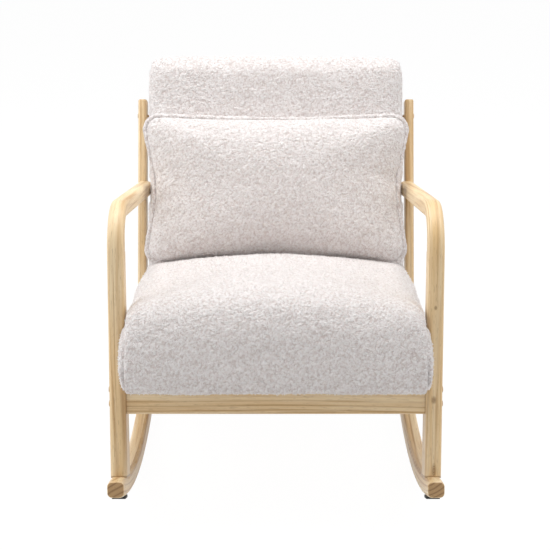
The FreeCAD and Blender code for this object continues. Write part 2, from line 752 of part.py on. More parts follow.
def rocker_dowels(grow):
    x = (X_IN + X_OUT) / 2
    dowels = []
    for share in (0.3, 0.7):
        dowels.append(dowel(DOWEL_RADIUS, side_point(x, mid_of(FRONT_FOOT, share)), Z_AXIS, grow))
    x = X_OUT - POST_THICK / 2
    up = with_posts(Part.Vertex(0, 0, 1)).Point - with_posts(Part.Vertex(0, 0, 0)).Point
    for share in (0.3, 0.7):
        dowels.append(dowel(SMALL_DOWEL_RADIUS, side_point(x, mid_of(REAR_FOOT, share)), up, grow))
    return both(dowels)


def arm_leg_dowels(grow):
    x = (X_IN + X_OUT) / 2
    centres = [Vector(x, y, LEG_TOP) for y in shares_of(0, LEG_TOP_DEPTH, (0.32, 0.7))]
    return both([dowel(SMALL_DOWEL_RADIUS, c, Z_AXIS, grow) for c in centres])


def arm_post_dowels(grow):
    x = X_OUT - POST_THICK / 2
    heights = shares_of(ARM_BOTTOM, ARM_TOP, (0.3, 0.7))
    return both([dowel(SMALL_DOWEL_RADIUS, Vector(x, post_front(z), z), Y_AXIS, grow) for z in heights])


def side_rail_dowels(grow):
    x = (SIDE_RAIL_IN + SIDE_RAIL_OUT) / 2
    heights = shares_of(SIDE_RAIL_BOTTOM, RAIL_TOP, (0.28, 0.72))
    ends = [Vector(x, leg_rear(z), z) for z in heights]
    ends += [Vector(x, post_front(z), z) for z in heights]
    return both([dowel(SMALL_DOWEL_RADIUS, c, Y_AXIS, grow) for c in ends])


# Assembly
def side_frame():
    """Right rocker, leg, armrest, post and side rail with their holes."""
    fit = DOWEL_FIT
    leg = leg_blank()
    post = post_blank()
    rocker = cut_all(rocker_blank(), [leg, post] + rocker_dowels(fit))
    leg = cut_all(leg, rocker_dowels(fit) + arm_leg_dowels(fit) + side_rail_dowels(fit))
    leg = cut_all(leg, front_bolts(bolt_hole))
    arm = cut_all(arm_blank(), arm_leg_dowels(fit) + arm_post_dowels(fit))
    post = cut_all(post, rocker_dowels(fit) + arm_post_dowels(fit) + side_rail_dowels(fit))
    post = cut_all(post, rear_bolts(bolt_hole) + back_bolts(bolt_hole))
    rail = cut_all(side_rail_blank(), side_rail_dowels(fit))
    return {"rocker": rocker, "front_leg": leg, "armrest": arm, "back_post": post, "side_rail": rail}


def back_unit():
    holes = inserts(0) + back_bolts(bolt_hole)
    dowel_holes = back_frame_dowels(DOWEL_FIT)
    right = cut_all(with_posts(cut_all(stile(), dowel_holes)), holes)
    sleeves = []
    for z in BACK_BOLT_Z:
        start = Vector(X_OUT, POST_DEPTH / 2, z)
        sleeves.append(rod(SLEEVE, start, X_AXIS * -1, X_OUT - STILE_SIDE + SLEEVE))
    sleeves = both([with_posts(s) for s in sleeves])
    cover = cut_all(back_form(0).cut(back_form(COVER)), sleeves)
    foam = cut_all(back_form(COVER + LAY), [with_posts(back_room())] + sleeves)
    top = back_rail(BACK_FRAME_TOP - STILE_WIDTH)
    return {
        "back_right_stile": [right],
        "back_left_stile": [mirrored(right)],
        "back_top_rail": [with_posts(cut_all(top, dowel_holes))],
        "back_bottom_rail": [with_posts(cut_all(back_rail(BACK_FRAME_BOTTOM), dowel_holes))],
        "back_frame_dowels": [with_posts(d) for d in back_frame_dowels(0)],
        "back_webbing": [with_posts(s) for s in webbing()],
        "back_foam": [foam],
        "back_cushion_cover": [cover],
    }


def chair():
    nodes = {}
    for name, shape in side_frame().items():
        nodes["right_" + name] = [shape]
        nodes["left_" + name] = [mirrored(shape)]
    nodes["front_rail"] = [cut_all(front_rail_blank(), front_bolts(bolt_hole) + front_nuts(NUT_FIT))]
    nodes["rear_rail"] = [cut_all(rear_rail_blank(), rear_bolts(bolt_hole) + rear_nuts(NUT_FIT))]
    nodes["corner_blocks"] = corner_blocks()
    nodes["seat_panel"] = [seat_panel()]
    nodes["seat_screws"] = seat_screws()
    nodes["seat_cushion_cover"] = [seat_form(0).cut(seat_form(COVER))]
    nodes["seat_foam"] = [seat_form(COVER + LAY)]
    nodes.update(back_unit())
    nodes["lumbar_pillow_cover"] = [set_pillow(pillow_form(0).cut(pillow_form(COVER)))]
    nodes["lumbar_pillow_fill"] = [set_pillow(pillow_form(COVER + LAY))]
    nodes["lumbar_pillow_piping"] = [set_pillow(piping())]
    nodes["front_rail_bolts"] = front_bolts(cross_bolt)
    nodes["front_rail_nuts"] = [cut_all(n, front_bolts(bolt_hole)) for n in front_nuts(0)]
    nodes["rear_rail_bolts"] = rear_bolts(cross_bolt)
    nodes["rear_rail_nuts"] = [cut_all(n, rear_bolts(bolt_hole)) for n in rear_nuts(0)]
    nodes["back_bolts"] = back_bolts(cross_bolt)
    nodes["back_inserts"] = [cut_all(n, back_bolts(bolt_hole)) for n in inserts(0)]
    nodes["rocker_dowels"] = rocker_dowels(0)
    nodes["arm_leg_dowels"] = arm_leg_dowels(0)
    nodes["arm_post_dowels"] = arm_post_dowels(0)
    nodes["side_rail_dowels"] = side_rail_dowels(0)
    nodes["rocker_pads"] = pads()
    return nodes


def stand(nodes):
    """Lean the chair back on its rockers and set the middle of its box over the origin."""
    placed = {}
    for name, shapes in nodes.items():
        placed[name] = [lean(s, REST_TILT, ROCKER_CENTRE_Y, ROCKER_CENTRE_Z) for s in shapes]
    whole = Part.makeCompound([s for shapes in placed.values() for s in shapes])
    limits = whole.optimalBoundingBox()
    shift = Vector(0, -limits.Center.y, ROCKER_RADIUS - ROCKER_CENTRE_Z)
    for shapes in placed.values():
        for shape in shapes:
            shape.translate(shift)
    return placed


os.makedirs("parts", exist_ok=True)
for node, solids in stand(chair()).items():
    shape = solids[0] if len(solids) == 1 else Part.makeCompound(solids)
    shape.exportStep("parts/" + node + ".step")
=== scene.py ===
# %% [markdown]
# # An upholstered rocking chair
# The chair is two bent wooden side frames on rockers, joined by rails, with a thick seat cushion,
# a back cushion between the posts and a loose lumbar pillow in a teddy fleece. The wood, the bolts
# and the hidden frame come ready from the CAD model, in metres. What a solid model can't give is made
# here: the soft cushions, the pile of the fleece, the piping and every finish.

# %% Load the frame
import math

import bpy
import numpy as np
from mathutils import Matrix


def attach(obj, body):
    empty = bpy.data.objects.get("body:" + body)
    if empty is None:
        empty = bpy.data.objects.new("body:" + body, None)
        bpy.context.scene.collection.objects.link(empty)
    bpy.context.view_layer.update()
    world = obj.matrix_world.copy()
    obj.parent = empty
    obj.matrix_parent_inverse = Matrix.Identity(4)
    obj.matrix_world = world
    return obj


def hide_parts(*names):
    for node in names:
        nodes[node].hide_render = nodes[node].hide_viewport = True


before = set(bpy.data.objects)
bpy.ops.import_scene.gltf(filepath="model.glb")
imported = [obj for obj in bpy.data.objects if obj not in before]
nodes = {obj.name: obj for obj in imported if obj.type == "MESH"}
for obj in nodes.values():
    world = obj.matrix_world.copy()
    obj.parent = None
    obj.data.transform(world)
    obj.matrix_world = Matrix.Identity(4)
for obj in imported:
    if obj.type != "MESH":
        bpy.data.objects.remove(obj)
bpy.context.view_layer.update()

# %% [markdown]
# ## Where things are
# A rocking chair stands leaned back. Its shapes are far easier to describe with the front legs
# upright, so points are worked out in that upright frame and then leaned about the centre of the
# rockers' circle. The back cushion and the pillow lean once more, with the back posts. Two small
# functions on whole arrays of points do both steps.

# %% Upright frame and post frame
REST_TILT = math.radians(12.064)
POST_RECLINE = math.radians(9.3)
POST_FOOT_Y = 0.514
ROCKER_RADIUS = 1.020
ROCKER_TOP_RADIUS = 0.982
CENTRE_Y = 0.2185
CENTRE_Z = math.sqrt(ROCKER_TOP_RADIUS ** 2 - CENTRE_Y ** 2)
CONTACT_Y = 0.026507


def leaned(p):
    """Points of the upright frame, as they stand on the floor."""
    y = p[:, 1] - CENTRE_Y
    z = p[:, 2] - CENTRE_Z
    c, s = math.cos(REST_TILT), math.sin(REST_TILT)
    return np.stack([p[:, 0], y * c + z * s + CONTACT_Y, z * c - y * s + ROCKER_RADIUS], 1)


def along_posts(p):
    """Points drawn in the line of the back posts, in the upright frame."""
    c, s = math.cos(POST_RECLINE), math.sin(POST_RECLINE)
    return np.stack([p[:, 0], p[:, 1] * c + p[:, 2] * s + POST_FOOT_Y, p[:, 2] * c - p[:, 1] * s], 1)


print("leg foot stands at", leaned(np.zeros((1, 3))).round(3))

# %% [markdown]
# ## Camera
# The picture was taken from straight ahead, from above the chair, with a long lens. In the upright
# frame the camera stands 2.53 m ahead of the legs, 0.75 m above the rockers' tops and looks 8 degrees
# down, and the lean of the chair adds to that angle.

# %% Camera
def add_object(name, data):
    made = bpy.data.objects.new(name, data)
    bpy.context.scene.collection.objects.link(made)
    return made


FOCAL_PIXELS = 1350.0
IMAGE_PIXELS = 550.0
SHIFT_PIXELS = -0.9
SENSOR_WIDTH = 36.0
CAMERA_PLACE = np.array([[0.0, -2.52848, 0.749015]])
CAMERA_PITCH = math.radians(8.0) + REST_TILT

camera = add_object("camera", bpy.data.cameras.new("camera"))
camera.location = leaned(CAMERA_PLACE)[0]
camera.rotation_euler = (math.pi / 2 - CAMERA_PITCH, 0.0, 0.0)
camera.data.sensor_width = SENSOR_WIDTH
camera.data.lens = SENSOR_WIDTH * FOCAL_PIXELS / IMAGE_PIXELS
camera.data.shift_x = SHIFT_PIXELS / IMAGE_PIXELS
bpy.context.scene.camera = camera
print("camera at", tuple(round(v, 4) for v in camera.location))

# %% [markdown]
# ## Writing shader maths
# A finish is a small calculation over the surface. Node by node it is hard to read, so one class wraps
# a socket and lets plain Python expressions add the Math nodes. Any other node, in a finish, in the
# world or in a Geometry Nodes tree, comes from one function: its kind, its settings, and then the
# values or links of its sockets.

# %% One function for nodes
def add_node(tree, kind, settings=None, inputs=None):
    made = tree.nodes.new(kind)
    for key, value in (settings or {}).items():
        setattr(made, key, value)
    for key, value in (inputs or {}).items():
        feed(tree, made.inputs[key], value)
    return made


def feed(tree, socket, value):
    """Link a socket to another one, or set it to a plain value."""
    value = getattr(value, "socket", value)
    if isinstance(value, bpy.types.NodeSocket):
        tree.links.new(value, socket)
    else:
        socket.default_value = value


print("nodes come from", add_node.__name__)

# %% A class for fields and a class for finishes
class Field:
    """A value that changes over a surface: Python operators on it add Math nodes."""

    def __init__(self, finish, socket):
        self.finish = finish
        self.socket = socket

    def math(self, operation, *others):
        inputs = dict(enumerate((self,) + others))
        made = self.finish.node("ShaderNodeMath", {"operation": operation}, inputs)
        return Field(self.finish, made.outputs[0])

    def __add__(self, other):
        return self.math("ADD", other)

    __radd__ = __add__

    def __sub__(self, other):
        return self.math("SUBTRACT", other)

    def __rsub__(self, other):
        return (self * -1.0) + other

    def __mul__(self, other):
        return self.math("MULTIPLY", other)

    __rmul__ = __mul__

    def __truediv__(self, other):
        return self.math("DIVIDE", other)

    def __pow__(self, power):
        return self.math("POWER", power)

    def smooth(self, low, high):
        """0 below low, 1 above high, soft between."""
        settings = {"interpolation_type": "SMOOTHSTEP"}
        inputs = {"Value": self, "From Min": low, "From Max": high}
        made = self.finish.node("ShaderNodeMapRange", settings, inputs)
        return Field(self.finish, made.outputs["Result"])


class Finish:
    """A material built in code around one Principled shader."""

    def __init__(self, name, **shader):
        self.material = bpy.data.materials.new(name)
        self.material.use_nodes = True
        self.tree = self.material.node_tree
        self.tree.nodes.clear()
        self.shader = self.node("ShaderNodeBsdfPrincipled")
        self.set(**shader)
        self.output = self.node("ShaderNodeOutputMaterial", {}, {"Surface": self.shader.outputs[0]})

    def node(self, kind, settings=None, inputs=None):
        return add_node(self.tree, kind, settings, inputs)

    def place(self):
        """X, Y and Z on the object, in metres."""
        return self.split(self.node("ShaderNodeTexCoord").outputs["Object"])

    def facing(self):
        """The way the surface faces, as three fields."""
        return self.split(self.node("ShaderNodeNewGeometry").outputs["True Normal"])

    def split(self, vector):
        return [Field(self, s) for s in self.node("ShaderNodeSeparateXYZ", {}, {0: vector}).outputs]

    def vector(self, x, y, z):
        return Field(self, self.node("ShaderNodeCombineXYZ", {}, {0: x, 1: y, 2: z}).outputs[0])

    def noise(self, vector, scale=1.0, detail=2.0, roughness=0.5):
        inputs = {"Vector": vector, "Scale": scale, "Detail": detail, "Roughness": roughness}
        return Field(self, self.node("ShaderNodeTexNoise", {}, inputs).outputs[0])

    def cells(self, vector, scale):
        inputs = {"Vector": vector, "Scale": scale}
        made = self.node("ShaderNodeTexVoronoi", {"feature": "SMOOTH_F1"}, inputs)
        return Field(self, made.outputs["Distance"])

    def mix(self, amount, first, second):
        inputs = {0: amount, 6: first, 7: second}
        made = self.node("ShaderNodeMix", {"data_type": "RGBA"}, inputs)
        return Field(self, made.outputs[2])

    def bump(self, height, strength, distance):
        inputs = {"Height": height, "Strength": strength, "Distance": distance}
        self.set(Normal=self.node("ShaderNodeBump", {}, inputs).outputs[0])

    def set(self, **values):
        """Inputs of the shader by name, with _ for a space."""
        for key, value in values.items():
            feed(self.tree, self.shader.inputs[key.replace("_", " ")], value)


def srgb(r, g, b):
    """A colour as it shows on a screen, 0 to 255, as the linear colour that shaders use."""
    linear = [((v / 255 + 0.055) / 1.055) ** 2.4 if v > 10 else v / 255 / 12.92 for v in (r, g, b)]
    return (*linear, 1.0)


def dress(material, *names):
    for name in names:
        mesh = nodes[name].data
        mesh.materials.clear()
        mesh.materials.append(material)


print("finishes are written as", Finish.__name__, "over", Field.__name__)

# %% [markdown]
# ## The wood
# The frame is a pale, straight-grained hardwood with a satin lacquer. On each stick the grain follows
# the length: up the legs and round the bend into the armrests, along the posts, round the rockers and
# along the four rails. So every stick first gets its own two coordinates across the grain and one
# along it, and one recipe then paints growth rings, streaks and pores in those coordinates. Rings that
# run slantwise through a stick show as long streaks on its sides and as slanting lines on its cut ends.

# %% Coordinates along the sticks
ARM_BEND = 0.095
ARM_BEND_LINE = 0.07
LEG_TOP = 0.434


def upright_fields(x, y, z):
    c, s = math.cos(REST_TILT), math.sin(REST_TILT)
    y = y - CONTACT_Y
    z = z - ROCKER_RADIUS
    return x, y * c - z * s + CENTRE_Y, y * s + z * c + CENTRE_Z


def leg_and_arm(x, y, z):
    x, y, z = upright_fields(x, y, z)
    ahead = (ARM_BEND - y).math("MAXIMUM", 0.0)
    above = (z - LEG_TOP).math("MAXIMUM", 0.0)
    across = (ahead * ahead + above * above).math("SQRT")
    turn = above.math("ARCTAN2", ahead)
    below = (z - LEG_TOP).math("MINIMUM", 0.0)
    behind = (y - ARM_BEND).math("MAXIMUM", 0.0)
    return x, across, below + turn * ARM_BEND_LINE + behind


def post_line(x, y, z):
    x, y, z = upright_fields(x, y, z)
    c, s = math.cos(POST_RECLINE), math.sin(POST_RECLINE)
    return x, (y - POST_FOOT_Y) * c - z * s, (y - POST_FOOT_Y) * s + z * c


def rocker_arc(x, y, z):
    y = y - CONTACT_Y
    z = ROCKER_RADIUS - z
    return x, (y * y + z * z).math("SQRT"), y.math("ARCTAN2", z)


def rail_line(x, y, z):
    x, y, z = upright_fields(x, y, z)
    return y, z, x


def side_rail_line(x, y, z):
    x, y, z = upright_fields(x, y, z)
    return x, z, y


PATHS = (leg_and_arm, post_line, rocker_arc, rail_line, side_rail_line)
print("paths:", [f.__name__ for f in PATHS])

# %% Cut ends and knots
def rocker_ends(f, x, y, z):
    """1 on the cut ends of a rocker, 0 along it."""
    side, y_way, z_way = f.facing()
    y = y - CONTACT_Y
    z = ROCKER_RADIUS - z
    return ((y_way * z + z_way * y) / ROCKER_RADIUS).math("ABSOLUTE").smooth(0.66, 0.86)


def arm_ends(f, x, y, z):
    """1 on the rear end of an armrest."""
    side, y_way, z_way = f.facing()
    end = y_way * math.cos(REST_TILT) - z_way * math.sin(REST_TILT)
    return end.math("ABSOLUTE").smooth(0.7, 0.9) * upright_fields(x, y, z)[1].smooth(0.25, 0.35)


def post_ends(f, x, y, z):
    """1 on the top and foot of a post."""
    side, y_way, z_way = f.facing()
    lean = REST_TILT + POST_RECLINE
    return (y_way * math.sin(lean) + z_way * math.cos(lean)).math("ABSOLUTE").smooth(0.7, 0.9)


def knot(x, z, centre, wide, tall):
    """1 in the middle of a knot on a leg's front, fading to 0 at its edge."""
    across = (x - centre[0]) / wide
    up = (z - centre[1]) / tall
    return (1.0 - (across * across + up * up).math("SQRT")).math("MAXIMUM", 0.0)


def foot_joint_shade(x, y, z):
    """1 along the foot of a leg, where it meets the rocker, for a band of painted shade in the seam."""
    return rocker_arc(x, y, z)[1].smooth(0.9795, 0.9815)


def rail_joint_shade(x, y, z):
    """1 at the ends of the front rail, where it meets the legs, for a band of painted shade in the
    seam.
    """
    return x.math("ABSOLUTE").smooth(0.2856, 0.2876)


print("cut ends are told by how the surface faces")

# %% Wood finish
WOOD_PALE = srgb(241, 219, 180)
WOOD_WARM = srgb(224, 189, 135)
WOOD_LATE = srgb(184, 141, 88)
WOOD_PORE_AND_SHADE = srgb(140, 101, 60)
WOOD_END = srgb(180, 144, 98)
WOOD_END_RING = srgb(128, 93, 55)
RING_SLANT = (0.55, 0.83)
RINGS_PER_METRE = 110.0


def wood(name, path, seed, ends=None, knots=(), joint_shade=None):
    """p and q lie across the grain and s along it; each stick's seed gives it a figure of its own."""
    f = Finish(name, Specular_IOR_Level=0.45, Coat_Weight=0.22, Coat_Roughness=0.35)
    x, y, z = f.place()
    p, q, s = path(x, y, z)
    p = p + seed * 0.37
    wander = f.noise(f.vector(p * 14.0, q * 14.0, s * 1.3 + seed), detail=1.0)
    ring = (p * RING_SLANT[0] + q * RING_SLANT[1]) * RINGS_PER_METRE + wander * 3.2
    late = ((ring * (2 * math.pi)).math("SINE") * 0.5 + 0.5) ** 3.0
    streak = f.noise(f.vector(p * 75.0, q * 75.0, s * 2.6 - seed), detail=3.0, roughness=0.6)
    fibre = f.noise(f.vector(p * 620.0, q * 620.0, s * 16.0), detail=3.0, roughness=0.65)
    pores = f.noise(f.vector(p * 1100.0, q * 1100.0, s * 60.0), detail=1.0).smooth(0.64, 0.72)
    lines = f.noise(f.vector(p * 190.0 + wander * 5.0, q * 190.0, s * 2.4 + seed)).smooth(0.58, 0.72)
    cloud = f.noise(f.vector(p * 9.0, q * 9.0, s * 2.0 + 3.0 * seed), detail=1.0)
    warm = (streak.smooth(0.34, 0.66) * 0.8 + (cloud - 0.5) * 0.9).math("MAXIMUM", 0.0)
    colour = f.mix(warm.math("MINIMUM", 1.0), WOOD_PALE, WOOD_WARM)
    colour = f.mix(late * streak.smooth(0.3, 0.65) * 0.8, colour, WOOD_LATE)
    colour = f.mix(lines * 0.6, colour, WOOD_LATE)
    colour = f.mix(fibre.smooth(0.45, 0.75) * 0.30, colour, WOOD_LATE)
    colour = f.mix(pores * 0.45, colour, WOOD_PORE_AND_SHADE)
    side, ahead, up = upright_fields(x, y, z)
    for centre, wide, tall in knots:
        spot = knot(side, up + (wander - 0.5) * 0.004, centre, wide, tall)
        rings = (spot * 26.0).math("SINE") * 0.3 + 0.7
        colour = f.mix(spot.smooth(0.0, 0.75) * rings, colour, WOOD_PORE_AND_SHADE)
    # the joint band is painted shade: the dark pore colour laid as a line where two sticks meet
    if joint_shade:
        colour = f.mix(joint_shade(x, y, z) * 0.6, colour, WOOD_PORE_AND_SHADE)
    if ends:
        end = ends(f, x, y, z)
        cut = f.mix(late * 0.75 + fibre.smooth(0.4, 0.7) * 0.25, WOOD_END, WOOD_END_RING)
        colour = f.mix(end, colour, cut)
    f.set(Base_Color=colour, Roughness=fibre * 0.16 + 0.36)
    f.bump(fibre * 0.6 - pores * 0.8 + late * 0.3, 0.18, 0.0004)
    return f.material


LEG_KNOTS = [
    ((0.3025, 0.151), 0.007, 0.010),
    ((0.3050, 0.012), 0.006, 0.020),
    ((0.3035, 0.330), 0.004, 0.006),
]
left_side = wood("wood_left_side", leg_and_arm, 1.7, arm_ends, joint_shade=foot_joint_shade)
dress(left_side, "left_front_leg", "left_armrest")
right_side = wood("wood_right_side", leg_and_arm, 4.1, arm_ends, LEG_KNOTS, foot_joint_shade)
dress(right_side, "right_front_leg", "right_armrest")
dress(wood("wood_posts", post_line, 2.9, post_ends), "left_back_post", "right_back_post")
dress(wood("wood_rockers", rocker_arc, 6.3, rocker_ends), "left_rocker", "right_rocker")
dress(wood("wood_front_rail", rail_line, 8.2, joint_shade=rail_joint_shade), "front_rail")
dress(wood("wood_rear_rail", rail_line, 3.4), "rear_rail")
dress(wood("wood_side_rails", side_rail_line, 5.2), "left_side_rail", "right_side_rail")
print("wood finishes:", len([m for m in bpy.data.materials if m.name.startswith("wood")]))

# %% [markdown]
# ## Hidden wood and hardware
# The corner blocks and inner frame are plain sawn softwood, and the seat panel is plywood, whose edge
# shows its layers. Bolt heads are lacquered to go with the wood, and the small pads at the ends of the
# rockers are black rubber. Inner pieces get simple finishes too, so that nothing is left grey.

# %% Plain finishes
def plain(name, base, speck, scale, amount, **shader):
    f = Finish(name, **shader)
    x, y, z = f.place()
    grain = f.noise(f.vector(x, y, z), scale, 3.0)
    f.set(Base_Color=f.mix(grain.smooth(0.35, 0.7) * amount, base, speck))
    f.bump(grain, 0.15, 0.0005)
    return f.material


def plywood():
    f = Finish("plywood", Roughness=0.7)
    x, y, z = upright_fields(*f.place())
    layers = ((z * (2 * math.pi / 0.003)).math("SINE") * 0.5 + 0.5) ** 4.0
    grain = f.noise(f.vector(x * 6.0, y * 160.0, z * 160.0), detail=3.0)
    colour = f.mix(grain.smooth(0.35, 0.7), srgb(214, 184, 140), srgb(190, 155, 108))
    f.set(Base_Color=f.mix(layers * 0.5, colour, srgb(150, 112, 72)))
    return f.material


softwood = plain("softwood", srgb(222, 196, 150), srgb(198, 164, 114), 60.0, 0.8, Roughness=0.7)
dress(softwood, "corner_blocks", "back_left_stile", "back_right_stile", "back_top_rail",
      "back_bottom_rail", "back_frame_dowels", "rocker_dowels", "arm_leg_dowels", "arm_post_dowels",
      "side_rail_dowels")
dress(plywood(), "seat_panel")
lacquered = plain("lacquered_heads", srgb(196, 160, 112), srgb(170, 132, 88), 900.0, 0.6, Roughness=0.4)
dress(lacquered, "front_rail_bolts", "rear_rail_bolts", "back_bolts")
rubber = plain("rubber", srgb(30, 30, 31), srgb(48, 47, 46), 700.0, 0.7, Roughness=0.75)
dress(rubber, "rocker_pads")
steel = plain("zinced_steel", srgb(186, 186, 188), srgb(150, 150, 154), 500.0, 0.6,
              Metallic=1.0, Roughness=0.38)
dress(steel, "front_rail_nuts", "rear_rail_nuts", "back_inserts", "seat_screws")
straps = plain("strap_webbing", srgb(42, 42, 44), srgb(66, 66, 68), 800.0, 0.8, Roughness=0.85)
dress(straps, "back_webbing")
print("materials so far:", len(bpy.data.materials))

# %% [markdown]
# ## The fleece
# The cover is an off-white teddy fleece: a dense pile of short curls that lie in nubs of 4 to 7 mm.
# From a step away it reads as a matt, pebbled surface with pale tips, and with shade in its pits that
# looks faintly rosy. The larger nubs are shaped in the mesh, so that they show on the outline. The
# finish adds the curls between them: cells and thin winding ridges, bent by noise, with painted shade
# that makes the pits darker and warmer, and a soft sheen for the short fibres that catch light at the
# edges.

# %% Fleece finish
FLEECE_TIP = srgb(254, 250, 249)
# the pit colour below is painted shade: darker and warmer where the pits between the nubs lie in shade
FLEECE_PIT_SHADE = srgb(220, 207, 203)
CURL_TIP = srgb(255, 253, 252)
CURL_ROOT = srgb(246, 240, 238)
BEND = 0.008
PILE_DEEP = 0.0036


def fleece():
    f = Finish("teddy_fleece", Roughness=0.95, Specular_IOR_Level=0.1,
               Sheen_Weight=0.5, Sheen_Roughness=0.5)
    x, y, z = f.place()
    bend_x = f.noise(f.vector(x, y, z), 210.0, 1.0) - 0.5
    bend_y = f.noise(f.vector(y, z, x), 210.0, 1.0) - 0.5
    bent = f.vector(x + bend_x * BEND, y + bend_y * BEND, z + (bend_x - bend_y) * BEND)
    ridge = (f.noise(bent, 210.0, 0.0) - 0.5).math("ABSOLUTE")
    worm = 1.0 - (ridge * 6.0).math("MINIMUM", 1.0)
    nub = 1.0 - f.cells(bent, 225.0)
    curl = f.noise(bent, 520.0, 1.0, 0.6)
    height = worm * 0.2 + nub * 0.75 + curl * 0.35
    # low places get the pit colour: painted shade in the hollows between the nubs
    f.set(Base_Color=f.mix(height.smooth(0.35, 0.95), FLEECE_PIT_SHADE, FLEECE_TIP))
    f.bump(height, 1.0, PILE_DEEP)
    return f.material


def loose_curls():
    f = Finish("fleece_curls", Roughness=1.0, Specular_IOR_Level=0.05,
               Sheen_Weight=0.6, Sheen_Roughness=0.4)
    x, y, z = f.place()
    shade = f.noise(f.vector(x, y, z), 230.0, 1.0)
    f.set(Base_Color=f.mix(shade.smooth(0.35, 0.65), CURL_ROOT, CURL_TIP))
    return f.material


FLEECE = fleece()
CURLS = loose_curls()
print("fleece made with", len(FLEECE.node_tree.nodes), "nodes")

# %% [markdown]
# ## Helpers for soft pieces
# Each cushion starts as rings of points that are skinned into a closed form, a little smaller than
# the finished cushion. It is remeshed into even squares and blown up by the cloth simulation, which
# gives the soft, filled faces that are hard to draw by hand. A cap on how far a point may move keeps
# the cushion in the room that the frame leaves for it.

# %% Points, noise and meshes
def read(mesh, what):
    flat = np.empty(len(mesh.vertices) * 3, np.float32)
    mesh.vertices.foreach_get(what, flat)
    return flat.reshape(-1, 3).astype(float)


def read_points(mesh):
    return read(mesh, "co")


def read_normals(mesh):
    return read(mesh, "normal")


def write_points(mesh, points):
    mesh.vertices.foreach_set("co", points.astype(np.float32).ravel())
    mesh.update()


def eased(t):
    """From 0 to 1, softly at both ends."""
    return t * t * (3 - 2 * t)


def lattice_value(cell, seed):
    """A steady number from 0 to 1 for each cell of a lattice."""
    c = cell.astype(np.int64).astype(np.uint32)
    h = c[..., 0] * np.uint32(374761393) + c[..., 1] * np.uint32(668265263)
    h = h + c[..., 2] * np.uint32(2246822519) + np.uint32(seed * 97 + 13)
    h = (h ^ (h >> np.uint32(13))) * np.uint32(1274126177)
    h = (h ^ (h >> np.uint32(15))) * np.uint32(2654435761)
    return (h ^ (h >> np.uint32(16))).astype(float) / 2 ** 32


def waviness(points, size, seed):
    """Smooth noise from -1 to 1 with lumps of this size."""
    p = points / size
    base = np.floor(p)
    t = eased(p - base)
    total = np.zeros(len(p))
    for corner in np.ndindex(2, 2, 2):
        share = np.prod([t[:, i] if corner[i] else 1 - t[:, i] for i in range(3)], axis=0)
        total += share * lattice_value(base + np.array(corner), seed)
    return total * 2 - 1


def nubs(points, size, seed):
    """Rounded bumps, 1 at their middles and 0 between them."""
    p = points / size
    base = np.floor(p)
    nearest = np.full(len(p), 9.0)
    for step in np.ndindex(3, 3, 3):
        cell = base + np.array(step) - 1
        spot = np.stack([lattice_value(cell, seed + i) for i in range(3)], 1)
        nearest = np.minimum(nearest, ((cell + spot - p) ** 2).sum(1))
    return np.clip(1 - nearest / 0.8, 0, 1)


def new_piece(name, points, faces):
    mesh = bpy.data.meshes.new(name)
    mesh.from_pydata([tuple(p) for p in points], [], faces)
    return add_object(name, mesh)


def skin(name, rings):
    """Closed form through rings of points, with a fan at each end."""
    count = len(rings[0])
    points = list(np.concatenate(rings))
    faces = []
    for i in range(len(rings) - 1):
        for k in range(count):
            a, b = i * count + k, i * count + (k + 1) % count
            faces.append((a, b, b + count, a + count))
    for start, flip in ((0, True), ((len(rings) - 1) * count, False)):
        points.append(np.mean(points[start:start + count], axis=0))
        for k in range(count):
            edge = (start + k, start + (k + 1) % count)
            faces.append((*(reversed(edge) if flip else edge), len(points) - 1))
    return new_piece(name, points, faces)


def settle(piece):
    """Replace the mesh by what its modifiers make of it."""
    graph = bpy.context.evaluated_depsgraph_get()
    mesh = bpy.data.meshes.new_from_object(piece.evaluated_get(graph))
    piece.modifiers.clear()
    old, piece.data = piece.data, mesh
    bpy.data.meshes.remove(old)
    return piece


def even_squares(piece, size):
    remesh = piece.modifiers.new("even", "REMESH")
    remesh.mode = "VOXEL"
    remesh.voxel_size = size
    return settle(piece)


def calm(piece, weight, rounds):
    """Draw each point towards the middle of its neighbours, as far as its weight says."""
    mesh = piece.data
    ends = np.empty(len(mesh.edges) * 2, np.int32)
    mesh.edges.foreach_get("vertices", ends)
    ends = ends.reshape(-1, 2)
    points = read_points(mesh)
    count = np.bincount(ends.ravel(), minlength=len(points))[:, None]
    for step in range(rounds):
        total = np.zeros_like(points)
        np.add.at(total, ends[:, 0], points[ends[:, 1]])
        np.add.at(total, ends[:, 1], points[ends[:, 0]])
        points += 0.6 * weight[:, None] * (total / count - points)
    write_points(mesh, points)


def smooth_once(piece):
    rounder = piece.modifiers.new("rounder", "SUBSURF")
    rounder.levels = rounder.render_levels = 1
    settle(piece)
    piece.data.polygons.foreach_set("use_smooth", [True] * len(piece.data.polygons))
    return piece


print("helpers ready")

